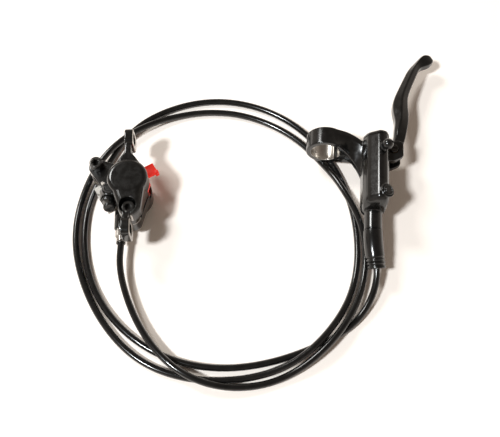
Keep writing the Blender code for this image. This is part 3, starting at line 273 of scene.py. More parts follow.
@dataclass(frozen=True)
class CastPaint:
    """Black paint on a die casting, bare where it was machined, with a painted highlight on its sharp edges.
    """

    name: str = "black_cast_paint"
    dark: Colour = (0.0042, 0.0041, 0.0039)
    light: Colour = (0.0078, 0.0075, 0.0070)
    # Pale grey of the painted highlight on sharp edges.
    painted_edge_highlight: Colour = (0.050, 0.048, 0.044)
    bare: Colour = (0.62, 0.60, 0.57)
    bare_dark: Colour = (0.40, 0.37, 0.33)
    patches: tuple[Patch, ...] = ()
    gloss: float = 0.17
    specular: float = 0.46
    coat: float = 0.25
    # Largest share of the painted edge highlight.
    painted_edge_share: float = 0.15
    tooling: Point = (1.0, 1.0, 1.0)

    def build(self) -> Paint:
        """Make the material."""
        graph = Graph(self.name)
        cloud = graph.noise(0.22, 4.0)
        paint = graph.mix(graph.span(cloud, 0.35, 0.66), self.dark, self.light)
        # Painted highlight: sharp edges lightened in patches, standing in for the light that rounded cast
        # edges catch.
        painted_edge_mask = graph.math("MULTIPLY", graph.edges(0.525, 0.60), graph.span(graph.noise(1.6, 2.0), 0.38, 0.62))
        paint = graph.mix(graph.math("MULTIPLY", painted_edge_mask, self.painted_edge_share), paint, self.painted_edge_highlight)
        speck = height = graph.noise(3.2, 2.0)
        rough = graph.span(cloud, 0.3, 0.7, self.gloss - 0.03, self.gloss + 0.04)
        mask = 0.0
        if self.patches:
            mask = self.patches[0].mask(graph)
            for patch in self.patches[1:]:
                mask = graph.math("MAXIMUM", mask, patch.mask(graph))
            lines = graph.noise(2.4, 3.0, self.tooling)
            paint = graph.mix(mask, paint, graph.mix(graph.span(lines, 0.3, 0.7), self.bare_dark, self.bare))
            spread = graph.math("SUBTRACT", graph.span(lines, 0.3, 0.7, 0.22, 0.36), rough)
            rough = graph.math("ADD", rough, graph.math("MULTIPLY", spread, mask))
            relief = graph.math("MULTIPLY", mask, graph.math("SUBTRACT", lines, speck))
            height = graph.math("ADD", speck, relief)
        return graph.surface({
            "Base Color": paint, "Roughness": rough, "Metallic": mask,
            "Normal": graph.bump(height, 0.000008, 0.5), "Specular IOR Level": self.specular,
            "Coat Weight": self.coat, "Coat Roughness": 0.10,
        })


@dataclass(frozen=True)
class Metal:
    """Bare or plated metal with turning marks along one axis."""

    name: str
    bright: Colour
    dull: Colour
    rough_low: float = 0.18
    rough_high: float = 0.34
    lines: float = 5.0
    depth: float = 0.00001
    metallic: float = 1.0

    def build(self) -> Paint:
        """Make the material."""
        graph = Graph(self.name)
        marks = graph.noise(self.lines)
        stain = graph.noise(0.35, 4.0)
        share = graph.math("MULTIPLY", graph.span(marks, 0.25, 0.75), graph.span(stain, 0.2, 0.7))
        return graph.surface({
            "Base Color": graph.mix(share, self.dull, self.bright), "Metallic": self.metallic,
            "Roughness": graph.span(stain, 0.3, 0.7, self.rough_high, self.rough_low),
            "Normal": graph.bump(marks, self.depth, 0.6),
        })


@dataclass(frozen=True)
class Moulded:
    """Moulded rubber or plastic, from matte to glossy, with an optional painted glow."""

    name: str
    dark: Colour
    light: Colour
    rough: float = 0.4
    specular: float = 0.4
    grain: float = 2.5
    depth: float = 0.00002
    coat: float = 0.0
    through: float = 0.0
    glow: Colour = (1.0, 1.0, 1.0)
    # Strength of a painted glow: emission in the light colour, so the part shines as if lit though it is no
    # lamp.
    painted_glow: float = 0.0

    def build(self) -> Paint:
        """Make the material."""
        graph = Graph(self.name)
        cloud = graph.noise(0.18, 4.0)
        fine = graph.noise(self.grain)
        values = {
            "Base Color": graph.mix(graph.span(cloud, 0.3, 0.7), self.dark, self.light),
            "Roughness": graph.span(fine, 0.3, 0.7, self.rough * 0.85, self.rough * 1.15),
            "Specular IOR Level": self.specular, "Coat Weight": self.coat, "Coat Roughness": 0.08,
            "Normal": graph.bump(fine, self.depth, 0.6),
        }
        if self.through:
            values |= {"Subsurface Weight": self.through, "Subsurface Radius": self.glow}
            values["Subsurface Scale"] = 0.0012
        # Painted glow: the light colour is also emitted, so the part looks lit where it lies in shade.
        if self.painted_glow:
            values |= {"Emission Color": self.light, "Emission Strength": self.painted_glow}
        return graph.surface(values)


@dataclass(frozen=True)
class Friction:
    """Pressed friction lining with brass and fibre specks."""

    name: str = "pressed_lining"
    binder: Colour = (0.045, 0.040, 0.036)
    fibre: Colour = (0.13, 0.115, 0.10)
    chip: Colour = (0.55, 0.38, 0.16)

    def build(self) -> Paint:
        """Make the material."""
        graph = Graph(self.name)
        body = graph.mix(graph.span(graph.noise(1.5, 4.0), 0.35, 0.65), self.binder, self.fibre)
        values = {"Scale": 1.9 * NOISE_PER_MILLIMETRE, "Vector": graph.place}
        cells = graph.node("ShaderNodeTexVoronoi", values).outputs["Distance"]
        chips = graph.span(cells, 0.10, 0.16, 1.0, 0.0)
        return graph.surface({
            "Base Color": graph.mix(chips, body, self.chip), "Metallic": graph.math("MULTIPLY", chips, 0.8),
            "Roughness": graph.span(chips, 0.0, 1.0, 0.85, 0.35),
            "Normal": graph.bump(graph.noise(3.0, 4.0), 0.00006, 0.8),
        })


# shapes


def turned(profile: Sequence[Spot], count: int) -> Mesh:
    """Turn an (r, h) profile round Z.

    Args:
        profile: Points from one end to the other.
        count: Facets round the turn.

    Returns:
        A closed mesh.
    """
    shape = bmesh.new()
    loops = []
    for radius, height in profile:
        if radius < 1e-7:
            loops.append([shape.verts.new((0.0, 0.0, height))] * count)
            continue
        loops.append([shape.verts.new((x, y, height)) for x, y in round_points(radius, count)])
    for first, second in zip(loops, loops[1:]):
        for index in range(count):
            following = (index + 1) % count
            corners = (first[index], first[following], second[following], second[index])
            distinct = list(dict.fromkeys(corners))
            if len(distinct) > 2:
                shape.faces.new(distinct)
    bmesh.ops.recalc_face_normals(shape, faces=shape.faces)
    return shape


def skinned(rings: Sequence[Sequence[Point]], closed: bool = False) -> Mesh:
    """Skin rings of equal size, with end caps or joined round."""
    shape = bmesh.new()
    loops = [[shape.verts.new(point) for point in ring] for ring in rings]
    pairs = list(zip(loops, loops[1:]))
    if closed:
        pairs.append((loops[-1], loops[0]))
    count = len(loops[0])
    for first, second in pairs:
        for index in range(count):
            following = (index + 1) % count
            shape.faces.new((first[index], first[following], second[following], second[index]))
    if not closed:
        shape.faces.new(loops[0])
        shape.faces.new(loops[-1])
    bmesh.ops.recalc_face_normals(shape, faces=shape.faces)
    return shape


def upright(outline: Sequence[Spot], low: float, high: float, edge: float = 0.0) -> Mesh:
    """Prism of an outline along Z, with rounded rims.

    Args:
        outline: Anticlockwise points.
        low: Lower level.
        high: Upper level.
        edge: Radius of the rims.

    Returns:
        A closed mesh.
    """
    levels = [(outline, low), (outline, high)]
    if edge:
        steps = 3
        turn = [math.pi / 2 * step / steps for step in range(steps + 1)]
        rims = [(inset(outline, edge * (1 - math.sin(a))), edge * (1 - math.cos(a))) for a in turn]
        levels = [(ring, low + rise) for ring, rise in rims]
        levels += [(ring, high - rise) for ring, rise in reversed(rims)]
    return skinned([[(x, y, z) for x, y in ring] for ring, z in levels])


def inset(outline: Sequence[Spot], depth: float) -> list[Spot]:
    """Move an anticlockwise outline inwards along its mitred corners."""
    moved = []
    count = len(outline)
    for index, (x, y) in enumerate(outline):
        before = Vector((x - outline[index - 1][0], y - outline[index - 1][1])).normalized()
        next_x, next_y = outline[(index + 1) % count]
        after = Vector((next_x - x, next_y - y)).normalized()
        normal = Vector((-before.y - after.y, before.x + after.x)).normalized()
        spread = max(0.5, normal.dot(Vector((-after.y, after.x))))
        moved.append((x + normal.x * depth / spread, y + normal.y * depth / spread))
    return moved


def round_points(radius: float, count: int = 64, centre: Spot = (0.0, 0.0)) -> list[Spot]:
    """Points of a circle in a plane."""
    turn = [2 * math.pi * step / count for step in range(count)]
    return [(centre[0] + radius * math.cos(a), centre[1] + radius * math.sin(a)) for a in turn]


def belt(*rounds: Point) -> list[Spot]:
    """Convex outline round several (x, y, radius) circles, anticlockwise."""
    circles = [round_points(radius, centre=(x, y)) for x, y, radius in rounds]
    points = sorted({(round(x, 7), round(y, 7)) for circle in circles for x, y in circle})

    def chain(run: Iterable[Spot]) -> list[Spot]:
        """Lower hull of a sorted run of points."""
        kept: list[Spot] = []
        for point in run:
            while len(kept) > 1:
                (ax, ay), (bx, by) = kept[-2], kept[-1]
                if (bx - ax) * (point[1] - ay) - (by - ay) * (point[0] - ax) > 1e-12:
                    break
                kept.pop()
            kept.append(point)
        return kept[:-1]

    return chain(points) + chain(points[::-1])


def softened(outline: Sequence[Spot], radii: Sequence[float] | float, steps: int = 6) -> list[Spot]:
    """Round the corners of a polygon.

    Args:
        outline: Corners.
        radii: One radius, or one for each corner.
        steps: Segments in each corner.

    Returns:
        Points of the rounded polygon.
    """
    count = len(outline)
    values = [radii] * count if isinstance(radii, float) else list(radii)
    points = []
    for index, corner in enumerate(outline):
        here = Vector(corner)
        back = Vector(outline[index - 1]) - here
        ahead = Vector(outline[(index + 1) % count]) - here
        angle = back.angle(ahead)
        reach = min(values[index] / math.tan(angle / 2), back.length * 0.48, ahead.length * 0.48)
        start, end = here + back.normalized() * reach, here + ahead.normalized() * reach
        for step in range(steps + 1):
            t = step / steps
            point = start * (1 - t) ** 2 + here * 2 * t * (1 - t) + end * t ** 2
            points.append((point.x, point.y))
    return points


def box_points(low: Spot, high: Spot, radius: float, steps: int = 6) -> list[Spot]:
    """Rectangle with round corners, anticlockwise."""
    corners = [(low[0], low[1]), (high[0], low[1]), (high[0], high[1]), (low[0], high[1])]
    return softened(corners, radius, steps)


def rays(section: Sequence[Spot], core: Spot, count: int) -> list[Spot]:
    """Points where evenly turned rays from the core meet a section's outline."""
    met = []
    size = len(section)
    for step in range(count):
        turn = 2 * math.pi * step / count
        dx, dz = math.cos(turn), math.sin(turn)
        reach = 0.0
        for index, (ax, az) in enumerate(section):
            bx, bz = section[(index + 1) % size]
            ex, ez = bx - ax, bz - az
            cross = dx * ez - dz * ex
            if abs(cross) < 1e-12:
                continue
            far = ((ax - core[0]) * ez - (az - core[1]) * ex) / cross
            along = ((ax - core[0]) * dz - (az - core[1]) * dx) / cross
            if far > 0 and -1e-9 <= along <= 1 + 1e-9:
                reach = max(reach, far)
        met.append((core[0] + dx * reach, core[1] + dz * reach))
    return met


def spline(points: Sequence[Sequence[float]], count: int) -> list[Vector]:
    """Points at even lengths on a natural cubic spline through a route.

    Args:
        points: Points of the route, of any dimension.
        count: Number of points to return.

    Returns:
        Points of the curve.
    """
    knots = np.array(points, dtype=float)
    steps = np.linalg.norm(np.diff(knots, axis=0), axis=1)
    along = np.concatenate([[0.0], np.cumsum(steps)])
    size = len(knots)
    grid = np.eye(size)
    wanted = np.zeros((size, knots.shape[1]))
    for index in range(1, size - 1):
        before, after = steps[index - 1], steps[index]
        grid[index, index - 1:index + 2] = (before, 2 * (before + after), after)
        rise = (knots[index + 1] - knots[index]) / after
        wanted[index] = 6 * (rise - (knots[index] - knots[index - 1]) / before)
    bend = np.linalg.solve(grid, wanted)
    route = []
    for place in np.linspace(0.0, along[-1], count):
        index = min(int(np.searchsorted(along, place, side="right")) - 1, size - 2)
        length = steps[index]
        left, right = along[index + 1] - place, place - along[index]
        curve = (bend[index] * left ** 3 + bend[index + 1] * right ** 3) / (6 * length)
        line = (knots[index] / length - bend[index] * length / 6) * left
        line = line + (knots[index + 1] / length - bend[index + 1] * length / 6) * right
        route.append(Vector(curve + line))
    return route


def swept(line: Sequence[Vector], radii: Sequence[float], count: int) -> list[list[Point]]:
    """Rings square to a line, one radius for each point."""
    rings = []
    for index, point in enumerate(line):
        ahead = (line[min(index + 1, len(line) - 1)] - line[max(index - 1, 0)]).normalized()
        side = (Vector((1, 0, 0)) - ahead * ahead.x).normalized()
        up = side.cross(ahead)
        turn = [2 * math.pi * step / count for step in range(count)]
        rings.append([tuple(point + (side * math.cos(a) + up * math.sin(a)) * radii[index]) for a in turn])
    return rings


def aimed(place: Point, direction: Point) -> Matrix:
    """Matrix that puts Z along a direction at a place."""
    return Matrix.Translation(place) @ Vector(direction).to_track_quat("Z", "Y").to_matrix().to_4x4()


def arc(centre: Spot, reach: Spot, start: float, end: float, steps: int) -> list[Spot]:
    """Points of an elliptic arc between two angles in degrees, both ends included."""
    turn = [math.radians(start + (end - start) * step / steps) for step in range(steps + 1)]
    return [(centre[0] + reach[0] * math.cos(a), centre[1] + reach[1] * math.sin(a)) for a in turn]


def chamfered(radius: float, half: float) -> list[Spot]:
    """Profile of a disc with chamfered rims, from -half to half."""
    side = [(0.0, half), (radius - RIM, half), (radius, half - RIM)]
    return [(r, -h) for r, h in side] + side[::-1]


class Bench:
    """Makes scratch solids, joins and cuts them, and hands over finished pieces."""

    @staticmethod
    def solid(shape: Mesh, place: Matrix | None = None, name: str = "scratch") -> Item:
        """Object of a mesh, with its place in the mesh."""
        mesh = bpy.data.meshes.new(name)
        if place is not None:
            shape.transform(place)
        shape.to_mesh(mesh)
        shape.free()
        item = bpy.data.objects.new(name, mesh)
        bpy.context.scene.collection.objects.link(item)
        return item

    @classmethod
    def lathe(cls, profile: Sequence[Spot], count: int, place: Matrix | None = None) -> Item:
        """Turned solid of an (r, h) profile."""
        return cls.solid(turned(profile, count), place)

    @classmethod
    def rod(cls, radius: float, low: float, high: float, count: int, place: Matrix | None = None) -> Item:
        """Plain cylinder between two heights."""
        return cls.lathe([(0.0, low), (radius, low), (radius, high), (0.0, high)], count, place)

    @classmethod
    def prism(
        cls, outline: Sequence[Spot], low: float, high: float, edge: float = 0.0, place: Matrix | None = None,
    ) -> Item:
        """Upright prism with rounded rims."""
        return cls.solid(upright(outline, low, high, edge), place)

    @staticmethod
    def grid(item: Item, voxel: float) -> None:
        """Add a remesh on a fine grid to an object's modifiers."""
        step = item.modifiers.new("grid", "REMESH")
        step.mode = "VOXEL"
        step.voxel_size = voxel
        step.use_smooth_shade = True

    @staticmethod
    def applied(item: Item) -> None:
        """Replace an object's mesh by its evaluated one and drop its modifiers."""
        graph = bpy.context.evaluated_depsgraph_get()
        graph.update()
        mesh = bpy.data.meshes.new_from_object(item.evaluated_get(graph))
        item.modifiers.clear()
        item.data = mesh

    @classmethod
    def combine(cls, target: Item, tools: Sequence[Item], operation: Operation) -> None:
        """Join tools to a target or cut them out of it, and remove the tools."""
        for tool in tools:
            step = target.modifiers.new("step", "BOOLEAN")
            step.operation = operation.value
            step.solver = "EXACT"
            step.object = tool
        cls.applied(target)
        for tool in tools:
            bpy.data.objects.remove(tool)

    @classmethod
    def weld(cls, target: Item, parts: Sequence[Item], voxel: float) -> None:
        """Merge overlapping solids into one skin on a fine grid, and remove the parts.

        Args:
            target: Solid that takes the others in.
            parts: Solids that reach into it.
            voxel: Grid size in metres.
        """
        shape = bmesh.new()
        for item in (target, *parts):
            shape.from_mesh(item.data)
        shape.to_mesh(target.data)
        shape.free()
        for part in parts:
            bpy.data.objects.remove(part)
        cls.grid(target, voxel)
        cls.applied(target)

    @classmethod
    def cast(cls, item: Item, voxel: float, passes: int) -> None:
        """Round every edge a little, as a casting's are.

        Args:
            item: Closed solid.
            voxel: Grid size in metres.
            passes: Smoothing passes.
        """
        cls.grid(item, voxel)
        soft = item.modifiers.new("soft", "SMOOTH")
        soft.factor = 0.5
        soft.iterations = passes
        cls.applied(item)
        corners = sum(len(face.vertices) - 2 for face in item.data.polygons)
        if corners > MOST_TRIANGLES:
            lean = item.modifiers.new("lean", "DECIMATE")
            lean.ratio = MOST_TRIANGLES / corners
            cls.applied(item)
            item.data.shade_smooth()

    @staticmethod
    def shade(item: Item, degrees: float) -> None:
        """Smooth shading that keeps edges sharper than an angle."""
        item.data.shade_smooth()
        shape = bmesh.new()
        shape.from_mesh(item.data)
        for edge in shape.edges:
            if len(edge.link_faces) == 2:
                edge.smooth = edge.calc_face_angle(0.0) < math.radians(degrees)
        shape.to_mesh(item.data)
        shape.free()

    @classmethod
    def finish(
        cls, item: Item, name: str, paint: Paint, slot: str, body: Body, *nodes: str, crease: float = 0.0,
    ) -> Item:
        """Name, dress and hang a finished piece.

        Args:
            item: The piece.
            name: Its name.
            paint: Its material.
            slot: Name of the piece's material slot; not used.
            body: Body that it moves with.
            nodes: CAD nodes that it stands for.
            crease: Angle in degrees from which an edge stays sharp, or 0 to leave the shading.

        Returns:
            The piece.
        """
        if crease:
            cls.shade(item, crease)
        item.name = name
        item.data.name = name
        item.data.materials.clear()
        item.data.materials.append(paint)
        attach(item, body.value)
        if nodes:
            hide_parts(*nodes)
        LOG.info("%s: %d faces", name, len(getattr(item.data, "polygons", ())))
        return item


# repeated shapes


class Repeater(Nodes):
    """Geometry Nodes tree that joins copies of a small shape to a mesh, in one material.

    Attributes:
        INPUTS: Name and kind of each input that a subclass reads.
    """

    INPUTS: tuple[tuple[str, str], ...] = ()

    def __init__(self, name: str) -> None:
        """Build the tree once.

        Args:
            name: Name of the tree.
        """
        super().__init__(bpy.data.node_groups.new(name, "GeometryNodeTree"))
        sockets = self.tree.interface
        sockets.new_socket("Geometry", in_out="INPUT", socket_type="NodeSocketGeometry")
        self.inputs = [
            sockets.new_socket(label, in_out="INPUT", socket_type=f"NodeSocket{kind}")
            for label, kind in (*self.INPUTS, ("Material", "Material"))
        ]
        sockets.new_socket("Geometry", in_out="OUTPUT", socket_type="NodeSocketGeometry")
        entry = self.node("NodeGroupInput", {}).outputs
        real = self.node("GeometryNodeRealizeInstances", {0: self.copies(entry)})
        join = self.node("GeometryNodeJoinGeometry", {0: entry["Geometry"]})
        self.feed(join.inputs[0], real.outputs[0])
        dress = {"Geometry": join.outputs[0], "Material": entry["Material"]}
        self.node("NodeGroupOutput", {0: self.node("GeometryNodeSetMaterial", dress).outputs[0]})

    def copies(self, entry: bpy.types.NodeOutputs) -> Socket:
        """Instances of the small shape, made from the tree's inputs."""
        raise NotImplementedError

    def grow(self, item: Item, *values: object) -> None:
        """Add the copies to an object whose mesh lies along Z, and make it plain again.

        Args:
            item: The object.
            values: One for each input, in their order, and the material.
        """
        modifier = item.modifiers.new("copies", "NODES")
        modifier.node_group = self.tree
        for socket, value in zip(self.inputs, values, strict=True):
            modifier[socket.identifier] = value
        Bench.applied(item)


class RowOfRings(Repeater):
    """Round ribs along a line of points."""

    INPUTS = (("Rib radius", "Float"), ("Ring radius", "Float"), ("Count", "Int"), ("Step", "Float"))

    def copies(self, entry: bpy.types.NodeOutputs) -> Socket:
        """One hoop on every point of a line along Z."""
        curves = []
        for count, name in ((72, "Ring radius"), (12, "Rib radius")):
            values = {"Resolution": count, "Radius": entry[name]}
            curves.append(self.node("GeometryNodeCurvePrimitiveCircle", values).outputs["Curve"])
        hoop = self.node("GeometryNodeCurveToMesh", {"Curve": curves[0], "Profile Curve": curves[1]})
        offset = self.node("ShaderNodeCombineXYZ", {"Z": entry["Step"]})
        line = self.node("GeometryNodeMeshLine", {"Count": entry["Count"], "Offset": offset.outputs[0]})
        spread = {"Points": line.outputs["Mesh"], "Instance": hoop.outputs["Mesh"]}
        return self.node("GeometryNodeInstanceOnPoints", spread).outputs["Instances"]

    def thread(self, item: Item, start: float, *values: object) -> None:
        """Add the rings from a height upwards."""
        item.data.transform(Matrix.Translation((0.0, 0.0, -start)))
        self.grow(item, *values)
        item.data.transform(Matrix.Translation((0.0, 0.0, start)))


class RingOfTeeth(Repeater):
    """Upright grip ridges round Z."""

    INPUTS = (
        ("Ring radius", "Float"), ("Tooth radius", "Float"), ("Tooth height", "Float"), ("Middle", "Float"),
        ("Count", "Int"),
    )

    def copies(self, entry: bpy.types.NodeOutputs) -> Socket:
        """One short rod on every point of a circle, lifted to the middle height."""
        ring = {"Vertices": entry["Count"], "Radius": entry["Ring radius"]}
        ring = self.node("GeometryNodeMeshCircle", ring)
        rod = {"Vertices": 8, "Radius": entry["Tooth radius"], "Depth": entry["Tooth height"]}
        tooth = self.node("GeometryNodeMeshCylinder", rod)
        spread = {"Points": ring.outputs["Mesh"], "Instance": tooth.outputs["Mesh"]}
        spread = self.node("GeometryNodeInstanceOnPoints", spread)
        lift = self.node("ShaderNodeCombineXYZ", {"Z": entry["Middle"]})
        raised = {"Instances": spread.outputs["Instances"], "Translation": lift.outputs[0]}
        return self.node("GeometryNodeTranslateInstances", raised).outputs["Instances"]


# frames shared with the CAD

CALIPER = Matrix.Translation((-0.1024, -0.03505, 0.0)) @ Matrix.Rotation(math.radians(2.0), 4, "Z")
POT_CENTRE = (-0.0035, 0.0025)
ROTOR = CALIPER @ Matrix.Translation((*POT_CENTRE, 0.0)) @ Matrix.Rotation(math.radians(28.0), 4, "Z")
LEVER = Matrix.Translation((0.0433, 0.0067, 0.0203)) @ Matrix.Rotation(math.radians(-4.5), 4, "Z")
ALONG = Matrix.Rotation(math.pi / 2, 4, "X")
SEAM = 0.0210


def world(frame_matrix: Matrix, point: Point) -> Point:
    """A local point in the row frame."""
    return tuple(frame_matrix @ Vector(point))


def heading(frame_matrix: Matrix, direction: Point) -> Point:
    """A local direction in the row frame."""
    return tuple((frame_matrix.to_3x3() @ Vector(direction)).normalized())


@dataclass
class HoseRun:
    """The looped hose from the boot to the caliper's fitting."""

    diameter: float = 0.0050
    lift: float = 0.00005
    samples: int = 520
    hidden: float = 0.0340
    barrel_side: float = 0.0374
    gland: float = 0.0595
    lead: tuple[Point, ...] = (
        (0.0374, -0.0660, 0.0000), (0.0374, -0.0720, 0.0000), (0.0379, -0.0800, -0.0012),
        (0.0393, -0.0885, -0.0038), (0.0413, -0.0975, -0.0073),
    )
    port_side: float = -0.0110
    port_height: float = 0.0115
    port_end: float = 0.0370
    port_depth: float = 0.0149
    route: tuple[Point, ...] = (
        (0.0637, -0.1277, 0.0038), (0.0337, -0.1482, 0.0026),
        (-0.0018, -0.1607, 0.0026), (-0.0383, -0.1647, 0.0026), (-0.0748, -0.1572, 0.0026),
        (-0.1063, -0.1377, 0.0026), (-0.1293, -0.1087, 0.0026), (-0.1408, -0.0737, 0.0026),
        (-0.1408, -0.0367, 0.0026), (-0.1288, -0.0012, 0.0026), (-0.1103, 0.0308, 0.0026),
        (-0.0798, 0.0513, 0.0026), (-0.0438, 0.0588, 0.0026), (-0.0073, 0.0518, 0.0026),
        (0.0242, 0.0323, 0.0026), (0.0472, 0.0033, 0.0026), (0.0612, -0.0312, 0.0026),
        (0.0657, -0.0682, 0.0026), (0.0602, -0.1047, 0.0030), (0.0427, -0.1367, 0.0080),
        (0.0152, -0.1612, 0.0071), (-0.0198, -0.1722, 0.0027), (-0.0568, -0.1722, 0.0026),
        (-0.0918, -0.1602, 0.0026), (-0.1193, -0.1352, 0.0026), (-0.1383, -0.1032, 0.0026),
        (-0.1483, -0.0677, 0.0026), (-0.1463, -0.0307, 0.0032), (-0.1313, 0.0033, 0.0078),
        (-0.1053, 0.0293, 0.0068), (-0.0723, 0.0448, 0.0027), (-0.0353, 0.0473, 0.0027),
        (0.0002, 0.0363, 0.0026), (0.0297, 0.0143, 0.0026), (0.0409, 0.0008, 0.0027),
        (0.0512, -0.0155, 0.0060), (0.0595, -0.0327, 0.0084), (0.0665, -0.0497, 0.0086),
        (0.0702, -0.0862, 0.0061), (0.0597, -0.1217, 0.0076), (0.0377, -0.1512, 0.0079),
        (0.0072, -0.1717, 0.0028), (-0.0288, -0.1787, 0.0052),
        (-0.0638, -0.1687, 0.0090), (-0.0903, -0.1427, 0.0087), (-0.1068, -0.1097, 0.0092),
        (-0.1121, -0.0837, 0.0108),
    )

    def line(self) -> list[Vector]:
        """Centreline of the whole hose, as the CAD has it."""
        inside = [(self.barrel_side, -self.gland, 0.0)] + list(self.lead)
        port = [
            (self.port_side, -self.port_end - 0.0040, self.port_height),
            (self.port_side, -self.port_end + 0.0060, self.port_height),
            (self.port_side, -self.port_depth, self.port_height),
        ]
        first = [world(LEVER, point) for point in inside]
        last = [world(CALIPER, point) for point in port]
        floor = self.diameter / 2 + self.lift
        points = spline(first + list(self.route) + last, count=self.samples)
        return [Vector((p.x, p.y, max(p.z, floor))) for p in points]

    def build(self, paint: Paint, carried: Sequence[str]) -> Item:
        """Args:
            paint: Material of the cover.
            carried: CAD nodes that sit on it; not used.

        Returns:
            The curve object.
        """
        line = self.line()
        start = next(i for i in range(len(line)) if self.covered(line, i) > self.hidden)
        shown = line[start:]
        curve = bpy.data.curves.new("brake_hose", "CURVE")
        curve.dimensions = "3D"
        curve.bevel_depth = self.diameter / 2
        curve.bevel_resolution = 7
        curve.use_fill_caps = True
        strand = curve.splines.new("POLY")
        strand.points.add(len(shown) - 1)
        for point, place in zip(strand.points, shown):
            point.co = (*place, 1.0)
        strand.use_smooth = True
        hose = bpy.data.objects.new("brake_hose", curve)
        bpy.context.scene.collection.objects.link(hose)
        Bench.finish(hose, "brake_hose", paint, "hose_black", Body.ROOT, "hose")
        return hose

    @staticmethod
    def covered(line: Sequence[Vector], index: int) -> float:
        """Length of the line up to a point."""
        return sum((line[i + 1] - line[i]).length for i in range(index))


@dataclass
class Boot:
    """Drooping glossy rubber boot over the hose."""

    start: float = 0.07155
    end: float = 0.0385
    rings: int = 96
    bore: float = 0.0028
    radii: tuple[float, ...] = (0.0071, 0.0071, 0.0071, 0.0071, 0.0071, 0.0070, 0.0068)
    grooves: tuple[float, ...] = (0.72, 0.81, 0.90)
    groove_depth: float = 0.00085
    groove_wide: float = 0.022
    round_ends: Spot = (0.02, 0.03)
    round_depth: float = 0.0007

    def radius(self, share: float) -> float:
        """Outside radius at a share of the length, with its grooves and round ends."""
        place = share * (len(self.radii) - 1)
        low = min(int(place), len(self.radii) - 2)
        size = self.radii[low] + (self.radii[low + 1] - self.radii[low]) * (place - low)
        for groove in self.grooves:
            size -= self.groove_depth * math.exp(-((share - groove) / self.groove_wide) ** 2)
        for near in (share / self.round_ends[0], (1.0 - share) / self.round_ends[1]):
            if near < 1.0:
                size -= self.round_depth * (1.0 - math.sqrt(max(0.0, 1.0 - (1.0 - near) ** 2)))
        return size

    def build(self, run: HoseRun, paint: Paint) -> Item:
        """Sweep the boot along the first stretch of the hose."""
        line = run.line()
        back = LEVER.inverted()
        first = next(i for i, point in enumerate(line) if (back @ point).y < -self.start)
        last = next(i for i in range(len(line)) if run.covered(line, i) > self.end)
        before, after = back @ line[first - 1], back @ line[first]
        share = (before.y + self.start) / (before.y - after.y)
        knots = [tuple(line[first - 1].lerp(line[first], share))]
        knots += [tuple(point) for point in line[first + 1:last + 1]]
        centre = spline(knots, count=self.rings)
        shares = [index / (self.rings - 1) for index in range(self.rings)]
        outer = swept(centre, [self.radius(share) for share in shares], 64)
        inner = swept(centre, [self.bore] * self.rings, 64)
        item = Bench.solid(skinned(outer + inner[::-1], closed=True))
        return Bench.finish(item, "rubber_boot", paint, "gloss_black", Body.ROOT, "hose_boot", crease=50.0)


